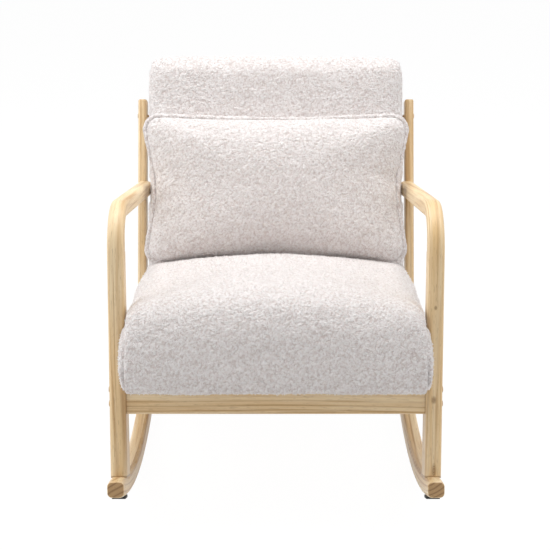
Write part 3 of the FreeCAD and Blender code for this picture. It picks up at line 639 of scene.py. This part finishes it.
# %% Blowing up a cushion
def blow_up(piece, pressure, cap, give=0.0015, held=None, frames=20):
    """Cloth simulation with pressure inside: no point goes out further than cap, or in than give."""
    start = read_points(piece.data)
    normals = read_normals(piece.data)
    cloth = piece.modifiers.new("cloth", "CLOTH")
    settings = cloth.settings
    settings.quality = 4
    settings.mass = 0.25
    settings.tension_stiffness = settings.compression_stiffness = 12.0
    settings.bending_stiffness = 2.0
    settings.use_pressure = True
    settings.uniform_pressure_force = pressure
    settings.effector_weights.gravity = 0.0
    cloth.collision_settings.use_collision = False
    if held is not None:
        group = piece.vertex_groups.new(name="held")
        for index in np.flatnonzero(held > 0.01):
            group.add([int(index)], float(held[index]), "REPLACE")
        settings.vertex_group_mass = "held"
    cloth.point_cache.frame_start = 1
    cloth.point_cache.frame_end = frames
    for number in range(1, frames + 1):
        bpy.context.scene.frame_set(number)
    settle(piece)
    move = read_points(piece.data) - start
    out = (move * normals).sum(1)
    along = move - normals * out[:, None]
    limit = np.where(out > 0, cap, give)
    out = limit * np.tanh(out / limit)
    slide = np.maximum(np.linalg.norm(along, axis=1), 1e-9)
    along *= (give * np.tanh(slide / give) / slide)[:, None]
    write_points(piece.data, start + normals * out[:, None] + along)
    bpy.context.scene.frame_set(1)
    print(piece.name, "moved by", (1000 * np.percentile(out, [2, 50, 98])).round(1), "mm")
    return piece


NUB_SIZE = 0.0070
NUB_HIGH = 0.0014


def add_pile(piece, seed):
    """Nubs of the fleece and a gentle unevenness, along the surface's normals."""
    points = read_points(piece.data)
    lift = NUB_HIGH * (nubs(points, NUB_SIZE, seed) - 0.45)
    lift += 0.0006 * waviness(points, 2 * NUB_SIZE, seed + 5)
    lift += 0.0016 * waviness(points, 0.09, seed + 9)
    write_points(piece.data, points + read_normals(piece.data) * lift[:, None])
    piece.data.materials.clear()
    piece.data.materials.append(FLEECE)
    print(piece.name, "has", sum(len(p.vertices) - 2 for p in piece.data.polygons), "triangles")
    return piece


print("nubs of", 1000 * NUB_SIZE, "mm, up to", 1000 * NUB_HIGH, "mm high")

# %% [markdown]
# ## Seat cushion
# The seat is a thick boxed cushion. Its top is crowned from side to side, its front rolls over and
# hangs a little below the top of the front rail, and it bulges past the legs in front of them and
# again behind them. Side panels are sewn on along a line about 9 mm in from each side, which shows
# as a soft groove up the front and back along the top. Its shoulders are round in front and tighter
# under the pillow. Sections across the cushion, one after another from front to rear, give that shape.

# %% Sections of the seat
SEAT_HALF = 0.297
SEAT_FRONT = -0.046
SEAT_LIP = 0.166
SEAT_FLOOR = 0.1965
SEAT_EDGE = 0.339
SEAT_RISE = 0.027
SEAT_REACH = 0.570
SEAT_SEAM = 0.2885
SIDE_BULGE = 0.006
SIDE_FLARE = 0.002
LOW_ROUND = 0.012
CROWN_FRONT, CROWN_REAR = 12.0, 3.0
SHOULDER_FRONT, SHOULDER_REAR = 0.044, 0.022
ROLL_DEEP, ROLL_TALL, ROLL_IN = 0.050, 0.066, 0.008
SHRINK = 0.0025


def arc_points(x, z, radius, first, last, count):
    a = np.radians(np.linspace(first, last, count))
    return np.stack([x + radius * np.cos(a), z + radius * np.sin(a)], 1)


def mirrored(right):
    """Closed outline from its right half, which starts and ends on the middle line."""
    return np.concatenate([right, right[1:-1][::-1] * np.array([-1, 1])])


def seat_section(half, low, high, slope, top_round):
    """Outline of the seat in X and Z: flat below, bulging sides, round shoulders and a crown."""
    foot = half + SIDE_FLARE - LOW_ROUND
    bottom = np.stack([np.linspace(0, foot, 14)[:-1], np.full(13, low)], 1)
    corner = arc_points(foot, low + LOW_ROUND, LOW_ROUND, -90, 0, 7)[:-1]
    rise = np.linspace(0, 1, 12)[:-1]
    wide = half + SIDE_BULGE * np.sin(math.pi * rise) + SIDE_FLARE * (1 - rise)
    side_low, side_high = low + LOW_ROUND, high - top_round
    side = np.stack([wide, side_low + rise * (side_high - side_low)], 1)
    shoulder = arc_points(half - top_round, high - top_round, top_round, 0, 90 - slope, 10)
    edge_x, edge_z = shoulder[-1]
    x = np.linspace(edge_x, 0, 26)
    fall = edge_x * math.tan(math.radians(slope / 2))
    crown = np.stack([x, edge_z + fall * (1 - (x / edge_x) ** 2)], 1)
    return mirrored(np.concatenate([bottom, corner, side, shoulder[:-1], crown]))


def ramp(value, low, high):
    return min(max((value - low) / (high - low), 0.0), 1.0)


def seat_rings():
    """Each station: how far back, how much lower and narrower than the full seat, and its bottom."""
    stations = []
    for a in np.radians(np.linspace(0, 90, 10)):
        y = SEAT_FRONT + SHRINK + ROLL_DEEP * (1 - math.cos(a))
        roll = 1 - math.sin(a)
        stations.append((y, ROLL_TALL * roll, ROLL_IN * roll, SEAT_LIP))
    stations += [(y, 0.0, 0.0, SEAT_LIP) for y in (0.001, 0.005)]
    stations += [(y, 0.0, 0.0, SEAT_FLOOR) for y in (0.009, 0.03, 0.06, 0.1, 0.15, 0.2, 0.25, 0.3)]
    stations += [(y, 0.0, 0.0, SEAT_FLOOR) for y in (0.33, 0.35, 0.37, 0.39, 0.41, 0.425)]
    rings = []
    for y, top_inset, side_inset, low in stations:
        high = SEAT_EDGE + SEAT_RISE * max(y, 0.0) / SEAT_REACH - top_inset - SHRINK
        half = SEAT_HALF - side_inset - SHRINK
        slope = CROWN_FRONT + (CROWN_REAR - CROWN_FRONT) * ramp(y, 0.355, 0.42)
        top_round = SHOULDER_FRONT + (SHOULDER_REAR - SHOULDER_FRONT) * ramp(y, 0.10, 0.30)
        section = seat_section(half, low + side_inset, high, slope, top_round)
        slant = math.tan(POST_RECLINE) * (section[:, 1] - SEAT_FLOOR) * ramp(y, 0.3, 0.4)
        rings.append(np.stack([section[:, 0], y + slant, section[:, 1]], 1))
    return rings


seat = skin("seat_cushion", seat_rings())
print("seat sections:", len(seat_rings()))

# %% Seat cushion
LEG_INNER = 0.2865
LEG_FRONT = -0.0015
LEG_REAR = 0.0600
SWELL_OUT, SWELL_LONG = 0.024, 0.11
RAIL_FACE = 0.0085
PANEL_TOP = 0.1955
BACK_REACH = 0.0888
PILLOW_FOOT_Y = (0.366, 0.386, 0.402, 0.413, 0.430, 0.445, 0.460)
PILLOW_FOOT_Z = (0.430, 0.391, 0.3765, 0.3630, 0.3630, 0.374, 0.390)


def clear_of_legs(p):
    """Press the cushion in where a leg stands, the short way out."""
    side = np.abs(p[:, 0]) - LEG_INNER
    front = p[:, 1] - LEG_FRONT
    rear = LEG_REAR - p[:, 1]
    inside = (side > 0) & (front > 0) & (rear > 0)
    depth = np.stack([side, front, rear], 1)
    way = depth.argmin(1)
    sign = np.sign(p[:, 0])
    p = p.copy()
    p[:, 0] -= np.where(inside & (way == 0), side * sign, 0)
    p[:, 1] -= np.where(inside & (way == 1), front, 0)
    p[:, 1] += np.where(inside & (way == 2), rear, 0)
    behind = np.clip((p[:, 1] - LEG_REAR + 0.002) / SWELL_LONG, 0, 1)
    limit = LEG_INNER + SWELL_OUT * eased(behind)
    wide = (p[:, 1] > LEG_REAR - 0.002) & (np.abs(p[:, 0]) > limit)
    p[:, 0] = np.where(wide, np.sign(p[:, 0]) * limit, p[:, 0])
    return p


def seat_room(p):
    """Keep clear of the legs, the front rail, the panel, the back cushion and the pillow."""
    p = clear_of_legs(p)
    over_rail = (p[:, 1] > RAIL_FACE) & (p[:, 2] < PANEL_TOP)
    behind = over_rail & (p[:, 1] - RAIL_FACE > PANEL_TOP - p[:, 2])
    p[:, 2] = np.where(behind, PANEL_TOP, p[:, 2])
    p[:, 1] = np.where(over_rail & ~behind, RAIL_FACE, p[:, 1])
    back_face = POST_FOOT_Y + p[:, 2] * math.tan(POST_RECLINE) - BACK_REACH
    p[:, 1] = np.minimum(p[:, 1], back_face)
    pillow_foot = np.interp(p[:, 1], PILLOW_FOOT_Y, PILLOW_FOOT_Z)
    p[:, 2] = np.minimum(p[:, 2], np.maximum(pillow_foot, SEAT_FLOOR + 0.1))
    return p


def groove(p, line, width, depth):
    """Seam down both sides, at a distance from the middle."""
    return -depth * np.exp(-((np.abs(p[:, 0]) - line) / width) ** 2)


def box_of(piece):
    points = read_points(piece.data)
    return [tuple(corner.round(3)) for corner in (points.min(0), points.max(0))]


SQUARES = 0.0065
PRESSURE = 4.0
even_squares(seat, SQUARES)
blow_up(seat, PRESSURE, cap=0.006)
# smoothed most in front and on top, least under the pillow
points = read_points(seat.data)
upper = np.clip((points[:, 2] - 0.215) / 0.05, 0, 1)
ahead = np.clip((0.30 - points[:, 1]) / 0.14, 0.12, 1)
calm(seat, upper * ahead, 24)
write_points(seat.data, seat_room(read_points(seat.data)))
smooth_once(seat)
points = read_points(seat.data)
depth = groove(points, SEAT_SEAM, width=0.0032, depth=0.0052) * (points[:, 1] < 0.46)
write_points(seat.data, seat_room(points + read_normals(seat.data) * depth[:, None]))
add_pile(seat, 1)
write_points(seat.data, leaned(seat_room(read_points(seat.data))))
print("seat box", box_of(seat))

# %% [markdown]
# ## Back cushion
# The back is a padded panel between the posts. Its front is slightly full, with large round edges
# down both sides and over the top, and a flat rear. A seam runs close to each side edge. Sections from
# the bottom up, drawn in the line of the posts, are narrowed towards the ends to round them. Where the
# end of an armrest passes, the side of the cushion is pressed in, and the rear stays over the inner
# frame.

# %% Sections of the back
BACK_HALF = 0.295
BACK_FRONT = -0.078
BACK_REAR = 0.040
BACK_LOW = 0.208
BACK_HIGH = 0.820
BACK_SEAM = 0.2875
BACK_FULL = 0.008
FRONT_ROUND, REAR_ROUND = 0.032, 0.012
TOP_TALL, TOP_IN = 0.036, 0.027
FOOT_TALL, FOOT_IN = 0.014, 0.0135


def back_section(inset):
    """Outline of the back in X and Y, front first."""
    half, front = BACK_HALF - inset - SHRINK, BACK_FRONT + inset + SHRINK
    rear = BACK_REAR - 0.001 - 0.3 * inset
    bend, tail = half - FRONT_ROUND, half - REAR_ROUND
    x = np.linspace(0, bend, 22)[:-1]
    face = np.stack([x, front - BACK_FULL * (1 - (x / bend) ** 2)], 1)
    corner = arc_points(bend, front + FRONT_ROUND, FRONT_ROUND, -90, 0, 9)[:-1]
    depth = np.linspace(front + FRONT_ROUND, rear - REAR_ROUND, 9)[:-1]
    side = np.stack([np.full(8, half), depth], 1)
    turn = arc_points(tail, rear - REAR_ROUND, REAR_ROUND, 0, 90, 6)[:-1]
    rear_face = np.stack([np.linspace(tail, 0, 16), np.full(16, rear)], 1)
    return mirrored(np.concatenate([face, corner, side, turn, rear_face]))


def back_rings():
    """Each ring: its height along the posts, and how much it is drawn in."""
    rings = []
    for a in np.radians(np.linspace(0, 90, 7)):
        z = BACK_LOW + SHRINK + FOOT_TALL * (1 - math.cos(a))
        rings.append((z, FOOT_IN * (1 - math.sin(a))))
    rings += [(z, 0.0) for z in np.linspace(0.26, 0.76, 9)]
    for a in np.radians(np.linspace(90, 0, 10)):
        z = BACK_HIGH - SHRINK - TOP_TALL * (1 - math.cos(a))
        rings.append((z, TOP_IN * (1 - math.sin(a))))
    made = []
    for z, inset in rings:
        section = back_section(inset)
        made.append(np.stack([section[:, 0], section[:, 1], np.full(len(section), z)], 1))
    return made


back = skin("back_cushion", back_rings())
print("back sections:", len(back_rings()))

# %% Back cushion
ARM_MIDDLE, ARM_HALF, ARM_FADE = 0.512, 0.020, 0.030
BESIDE_POST, BESIDE_ARM = 0.2985, 0.2855
FRAME_SIDE, FRAME_LOW, FRAME_HIGH = 0.2815, 0.2205, 0.8015
FRAME_REAR = 0.0368


def clear_of_arms(p):
    """p in the upright frame: pressed in by the armrests' ends, softly above and below them."""
    past = np.maximum(np.abs(p[:, 2] - ARM_MIDDLE) - ARM_HALF, 0)
    near = eased(np.clip(1 - past / ARM_FADE, 0, 1))
    post_face = POST_FOOT_Y + p[:, 2] * math.tan(POST_RECLINE)
    ahead = np.clip((post_face + 0.012 - p[:, 1]) / 0.010, 0, 1)
    limit = BESIDE_POST - (BESIDE_POST - BESIDE_ARM) * near * ahead
    p = p.copy()
    p[:, 0] = np.sign(p[:, 0]) * np.minimum(np.abs(p[:, 0]), limit)
    return p


def over_frame(p):
    """p in the line of the posts: the rear stays behind the inner frame, which it is stapled to."""
    level = (p[:, 2] > FRAME_LOW) & (p[:, 2] < FRAME_HIGH) & (np.abs(p[:, 0]) < FRAME_SIDE)
    behind = level & (p[:, 1] > 0.022)
    p = p.copy()
    p[:, 1] = np.where(behind, np.maximum(p[:, 1], FRAME_REAR), p[:, 1])
    return p


even_squares(back, SQUARES)
blow_up(back, PRESSURE, cap=0.006)
calm(back, np.ones(len(back.data.vertices)), 5)
smooth_once(back)
points = read_points(back.data)
depth = groove(points, BACK_SEAM, width=0.0028, depth=0.0030)
write_points(back.data, points + read_normals(back.data) * depth[:, None])
add_pile(back, 2)
write_points(back.data, leaned(clear_of_arms(along_posts(over_frame(read_points(back.data))))))
print("back box", box_of(back))

# %% [markdown]
# ## Lumbar pillow
# The pillow is two panels sewn together along a piped edge and stuffed. Filling pulls the straight
# edges in between the corners, so the corners stand out as ears. The outline is drawn with those
# hollow sides, the form starts as a flat lens on it, and pressure fills it while the edge is held.

# %% Outline of the pillow
PILLOW_TOP = 0.288
PILLOW_LOW = 0.283
PILLOW_TALL = 0.312
PILLOW_CORNER = 0.030
PILLOW_SIDE_DRAW = 0.018
PILLOW_TOP_DRAW = 0.007
PILLOW_LOW_DRAW = 0.017
PILLOW_EAR_DROP = 0.010
PILLOW_HALF_THICK = 0.062
PILLOW_AHEAD = -0.1492
PILLOW_MIDDLE = 0.5093


def pillow_outline(count):
    """Closed outline in X and Z about the pillow's middle, even in length."""
    top = np.array([PILLOW_TOP, PILLOW_TALL / 2]) - PILLOW_CORNER
    low = np.array([PILLOW_LOW, PILLOW_TALL / 2 + PILLOW_EAR_DROP]) - PILLOW_CORNER
    centres = [top, low * np.array([1, -1]), -low, top * np.array([-1, 1])]
    draws = (PILLOW_SIDE_DRAW, PILLOW_LOW_DRAW, PILLOW_SIDE_DRAW, PILLOW_TOP_DRAW)
    starts = (90, 0, -90, -180)
    line = []
    for i in range(4):
        a = np.radians(np.linspace(starts[i] - 4, starts[i] - 86, 14))
        line.append(centres[i] + PILLOW_CORNER * np.stack([np.cos(a), np.sin(a)], 1))
        here = line[-1][-1]
        b = math.radians(starts[(i + 1) % 4] - 4)
        there = centres[(i + 1) % 4] + PILLOW_CORNER * np.array([math.cos(b), math.sin(b)])
        t = np.linspace(0, 1, 60)[1:-1, None]
        inward = -np.sign(here) * np.array([1 - i % 2, i % 2])
        line.append(here + (there - here) * t + inward * draws[i] * np.sin(math.pi * t) ** 1.3)
    line = np.concatenate(line)
    closed = np.concatenate([line, line[:1]])
    run = np.concatenate([[0], np.cumsum(np.linalg.norm(np.diff(closed, axis=0), axis=1))])
    at = np.linspace(0, run[-1], count, endpoint=False)
    return np.stack([np.interp(at, run, closed[:, k]) for k in range(2)], 1)


def set_pillow(p):
    """Points about the pillow's middle, put where it rests on the seat."""
    return leaned(along_posts(p + np.array([0, PILLOW_AHEAD, PILLOW_MIDDLE])))


outline = pillow_outline(240)
print("pillow outline", (1000 * np.ptp(outline, axis=0)).round(1), "mm")

# %% Pillow
def pillow_rings():
    """Rings from the rear to the front, each the outline drawn in towards the middle."""
    shares = np.concatenate([np.linspace(0.08, 0.9, 12), [0.95, 0.985, 1.0]])
    full = 0.96 * PILLOW_HALF_THICK
    rings = []
    for share in shares:
        depth = full * (1 - share ** 2.6) ** 0.5
        ring = outline * share
        rings.append(np.stack([ring[:, 0], np.full(len(ring), depth), ring[:, 1]], 1))
    front = [r * np.array([1, -1, 1]) for r in rings[-2::-1]]
    return rings + front


pillow = skin("lumbar_pillow", pillow_rings())
even_squares(pillow, 0.006)
points = read_points(pillow.data)
at_edge = np.clip(1.3 - np.abs(points[:, 1]) / 0.007, 0, 1)
blow_up(pillow, PRESSURE, cap=0.008, held=at_edge)
calm(pillow, np.full(len(points), 0.8), 3)
points = read_points(pillow.data)
points[:, 1] = np.clip(points[:, 1], -PILLOW_HALF_THICK - 0.006, PILLOW_HALF_THICK - 0.001)
write_points(pillow.data, points)
smooth_once(pillow)
print("pillow points", len(pillow.data.vertices))

# %% Creases of the pillow
# each one: its middle in X and Z, half its length, its turn in degrees and its depth
CREASES = [
    (0.255, 0.02, 0.05, -12, 0.004),
    (-0.25, -0.03, 0.05, 14, 0.003),
    (0.02, -0.13, 0.09, 4, 0.003),
]
CREASE_WIDTH = 0.012

points = read_points(pillow.data)
front = np.clip(-points[:, 1] / 0.02, 0, 1)
dents = 0.0035 * waviness(points * np.array([1, 0.2, 1]), size=0.13, seed=31) - 0.002
for x, z, reach, turn, deep in CREASES:
    c, s = math.cos(math.radians(turn)), math.sin(math.radians(turn))
    u = (points[:, 0] - x) * c + (points[:, 2] - z) * s
    v = (points[:, 2] - z) * c - (points[:, 0] - x) * s
    dents -= deep * np.exp(-(u / reach) ** 2 - (v / CREASE_WIDTH) ** 2)
write_points(pillow.data, points + read_normals(pillow.data) * (dents * front)[:, None])
add_pile(pillow, 3)
write_points(pillow.data, set_pillow(read_points(pillow.data)))
print("pillow reaches", (1000 * np.ptp(read_points(pillow.data), axis=0)).round(1), "mm")

# %% [markdown]
# ## Piping
# The pillow's edge is finished with a fleece-covered cord. It follows the outline, so it is a curve
# with a round section: a Geometry Nodes tree takes the curve, varies its radius a little, as stuffed
# piping does, and sweeps a circle along it.

# %% Piping tree
def tree_input(tree, name, value, kind="NodeSocketFloat"):
    socket = tree.interface.new_socket(name, in_out="INPUT", socket_type=kind)
    if value is not None:
        socket.default_value = value
    return socket


def end_tree(tree, last, material):
    """Every tree ends alike: real geometry, a material, and out."""
    whole = add_node(tree, "GeometryNodeRealizeInstances", {}, {0: last.outputs[0]})
    dressed = add_node(tree, "GeometryNodeSetMaterial", {},
                       {"Geometry": whole.outputs[0], "Material": material})
    add_node(tree, "NodeGroupOutput", {}, {0: dressed.outputs[0]})


def piping_tree():
    tree = bpy.data.node_groups.new("piping", "GeometryNodeTree")
    tree_input(tree, "Curve", None, "NodeSocketGeometry")
    tree_input(tree, "Radius", 0.0052)
    tree_input(tree, "Unevenness", 0.10)
    tree.interface.new_socket("Mesh", in_out="OUTPUT", socket_type="NodeSocketGeometry")
    given = add_node(tree, "NodeGroupInput").outputs
    steps = add_node(tree, "GeometryNodeResampleCurve", {}, {"Curve": given["Curve"], "Count": 700})
    lumps = add_node(tree, "ShaderNodeTexNoise", {}, {"Scale": 45.0})
    spread = add_node(tree, "ShaderNodeMapRange", {}, {"Value": lumps.outputs[0], "To Min": -1.0})
    thick = add_node(tree, "ShaderNodeMath", {"operation": "MULTIPLY_ADD"},
                     {0: spread.outputs["Result"], 1: given["Unevenness"], 2: 1.0})
    line = add_node(tree, "GeometryNodeSetCurveRadius", {},
                    {"Curve": steps.outputs[0], "Radius": thick.outputs[0]})
    circle = add_node(tree, "GeometryNodeCurvePrimitiveCircle", {},
                      {"Resolution": 14, "Radius": given["Radius"]})
    sweep = add_node(tree, "GeometryNodeCurveToMesh", {},
                     {"Curve": line.outputs[0], "Profile Curve": circle.outputs[0]})
    if "Scale" in sweep.inputs:
        feed(tree, sweep.inputs["Scale"], thick.outputs[0])
    end_tree(tree, sweep, FLEECE)
    return tree


def run_tree(name, source, tree, **values):
    """The plain mesh that a tree makes of an object, as a new piece."""
    modifier = source.modifiers.new(tree.name, "NODES")
    modifier.node_group = tree
    for item in tree.interface.items_tree:
        if item.item_type == "SOCKET" and item.name in values:
            modifier[item.identifier] = values[item.name]
    graph = bpy.context.evaluated_depsgraph_get()
    mesh = bpy.data.meshes.new_from_object(source.evaluated_get(graph))
    mesh.name = name
    source.modifiers.remove(modifier)
    return add_object(name, mesh)


PIPING = piping_tree()
print("piping tree has", len(PIPING.nodes), "nodes")

# %% Piping
def closed_curve(name, points):
    curve = bpy.data.curves.new(name, "CURVE")
    curve.dimensions = "3D"
    spline = curve.splines.new("POLY")
    spline.points.add(len(points) - 1)
    spline.points.foreach_set("co", np.concatenate([points, np.ones((len(points), 1))], 1).ravel())
    spline.use_cyclic_u = True
    return add_object(name, curve)


def outward(line, distance):
    """A closed line in X and Z, moved out by a distance."""
    along = np.roll(line, -1, axis=0) - np.roll(line, 1, axis=0)
    out = np.stack([-along[:, 1], along[:, 0]], 1) / np.linalg.norm(along, axis=1)[:, None]
    if (out * line).sum() < 0:
        out = -out
    return line + out * distance


PIPING_OUT = 0.0008
edge = outward(pillow_outline(420), PIPING_OUT)
edge = np.stack([edge[:, 0], np.zeros(len(edge)), edge[:, 1]], 1)
holder = closed_curve("piping_line", set_pillow(edge))
piping = run_tree("pillow_piping", holder, PIPING, Radius=0.0052, Unevenness=0.10)
bpy.data.objects.remove(holder)
add_pile(piping, 4)
print("piping length", round(float(np.linalg.norm(np.diff(edge, axis=0), axis=1).sum()), 3), "m")

# %% [markdown]
# ## Loose curls of the pile
# At the outline of a cushion the fleece ends in short loose fibres, which make its edge soft. Thousands
# of tiny cones, scattered over each cushion and tilted at random, give that edge. They follow a
# surface, so a Geometry Nodes tree scatters them, with a fixed seed.

# %% Pile tree
PILE_DENSITY = 16000.0
PILE_LENGTH = 0.0036


def pile_tree():
    tree = bpy.data.node_groups.new("pile", "GeometryNodeTree")
    tree_input(tree, "Cushion", None, "NodeSocketGeometry")
    tree_input(tree, "Density", PILE_DENSITY)
    tree_input(tree, "Length", PILE_LENGTH)
    tree_input(tree, "Seed", 1, "NodeSocketInt")
    tree.interface.new_socket("Mesh", in_out="OUTPUT", socket_type="NodeSocketGeometry")
    given = add_node(tree, "NodeGroupInput").outputs
    spots = add_node(tree, "GeometryNodeDistributePointsOnFaces", {},
                     {"Mesh": given["Cushion"], "Density": given["Density"], "Seed": given["Seed"]})
    curl = add_node(tree, "GeometryNodeMeshCone", {"fill_type": "NONE"},
                    {"Vertices": 3, "Radius Bottom": 0.0008, "Depth": given["Length"]})
    tilt = add_node(tree, "FunctionNodeRandomValue", {"data_type": "FLOAT_VECTOR"},
                    {0: (-1.0, -1.0, -3.1), 1: (1.0, 1.0, 3.1), "Seed": given["Seed"]})
    turn = add_node(tree, "FunctionNodeRotateRotation", {"rotation_space": "LOCAL"},
                    {0: spots.outputs["Rotation"], 1: tilt.outputs[0]})
    size = add_node(tree, "FunctionNodeRandomValue", {"data_type": "FLOAT"},
                    {2: 0.6, 3: 1.25, "Seed": given["Seed"]})
    put = add_node(tree, "GeometryNodeInstanceOnPoints", {},
                   {"Points": spots.outputs["Points"], "Instance": curl.outputs["Mesh"],
                    "Rotation": turn.outputs[0], "Scale": size.outputs[1]})
    end_tree(tree, put, CURLS)
    return tree


PILE = pile_tree()
print("pile tree has", len(PILE.nodes), "nodes")

# %% Pile
AMOUNT = {"Density": PILE_DENSITY, "Length": PILE_LENGTH}
seat_pile = run_tree("seat_pile", seat, PILE, Seed=11, **AMOUNT)
back_pile = run_tree("back_pile", back, PILE, Seed=12, **AMOUNT)
pillow_pile = run_tree("pillow_pile", pillow, PILE, Seed=13, **AMOUNT)
print("curls:", [len(o.data.vertices) // 4 for o in (seat_pile, back_pile, pillow_pile)])

# %% [markdown]
# ## What each piece stands for
# The cushions ride on the chair, and the pillow with its piping on the body that can be lifted out.
# Each one takes the place of its plain solid, which stays in the motion model.

# %% Bodies
def stand_for(piece, body, fill, *covered):
    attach(piece, body)
    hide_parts(*covered)


stand_for(seat, "chair", 0.85, "seat_cushion_cover", "seat_foam")
stand_for(back, "chair", 0.8, "back_cushion_cover", "back_foam")
stand_for(pillow, "pillow", 0.7, "lumbar_pillow_cover", "lumbar_pillow_fill")
stand_for(piping, "pillow", 0.9, "lumbar_pillow_piping")
for piece, body in ((seat_pile, "chair"), (back_pile, "chair"), (pillow_pile, "pillow")):
    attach(piece, body)
print("soft pieces:", [o.name for o in (seat, back, pillow, piping)])

# %% [markdown]
# ## Studio
# The picture is a cut-out on white with hardly any shadow: a large soft light overhead, one from each
# side, a weak one in front, and white all round. The floor is pale and takes the shadow, and the
# camera sees most of it as plain white.

# %% Floor and world
FLOOR_HALF = 40.0
FLOOR_SEEN = 0.93
FLOOR_GLOW = 1.045


def seen_rays(tree):
    """1 for rays that show the background: from the camera, off gloss and through glass."""
    path = add_node(tree, "ShaderNodeLightPath").outputs
    seen = add_node(tree, "ShaderNodeMath", {"operation": "MAXIMUM"},
                    {0: path["Is Camera Ray"], 1: path["Is Glossy Ray"]})
    seen = add_node(tree, "ShaderNodeMath", {"operation": "MAXIMUM"},
                    {0: seen.outputs[0], 1: path["Is Transmission Ray"]})
    return seen.outputs[0]


def white_floor():
    h = FLOOR_HALF
    floor = new_piece("floor", [(-h, -h, 0), (h, -h, 0), (h, h, 0), (-h, h, 0)], [(0, 1, 2, 3)])
    floor.location.z = -0.0005
    f = Finish("floor_white", Base_Color=(0.86, 0.86, 0.86, 1), Roughness=0.9, Specular_IOR_Level=0.0)
    glow = f.node("ShaderNodeEmission", {}, {"Color": (1, 1, 1, 1), "Strength": FLOOR_GLOW})
    share = Field(f, seen_rays(f.tree)) * FLOOR_SEEN
    both = f.node("ShaderNodeMixShader", {}, {0: share, 1: f.shader.outputs[0], 2: glow.outputs[0]})
    feed(f.tree, f.output.inputs["Surface"], both.outputs[0])
    floor.data.materials.append(f.material)


def white_world(strength):
    world = bpy.data.worlds.new("studio")
    bpy.context.scene.world = world
    world.use_nodes = True
    tree = world.node_tree
    tree.nodes.clear()
    level = add_node(tree, "ShaderNodeMapRange", {},
                     {"Value": seen_rays(tree), "To Min": strength, "To Max": 1.0})
    sky = add_node(tree, "ShaderNodeBackground", {},
                   {"Color": (1, 1, 1, 1), "Strength": level.outputs["Result"]})
    add_node(tree, "ShaderNodeOutputWorld", {}, {"Surface": sky.outputs[0]})


white_floor()
white_world(0.20)
bpy.context.scene.view_settings.view_transform = "Standard"
print("background:", bpy.context.scene.world.name)

# %% Lights
def soft_light(name, place, aim, size, power):
    """A square light at a place, turned to a point; size in metres, power in watts."""
    lamp = bpy.data.lights.new(name, "AREA")
    lamp.shape = "SQUARE"
    lamp.size = size
    lamp.energy = power
    holder = add_object(name, lamp)
    holder.location = place
    x, y, z = np.array(aim) - np.array(place)
    holder.rotation_euler = (math.atan2(math.hypot(x, y), -z), 0.0, math.atan2(-x, y))


soft_light("overhead", (0.0, 0.25, 2.9), (0.0, -0.02, 0.3), 2.2, 57.0)
soft_light("front_fill", (0.0, -3.4, 1.1), (0.0, 0.0, 0.3), 2.4, 6.5)
soft_light("left_fill", (-2.6, -0.2, 2.0), (0.0, -0.05, 0.3), 3.2, 66.0)
soft_light("right_fill", (2.6, -0.2, 2.0), (0.0, -0.05, 0.3), 3.2, 44.0)
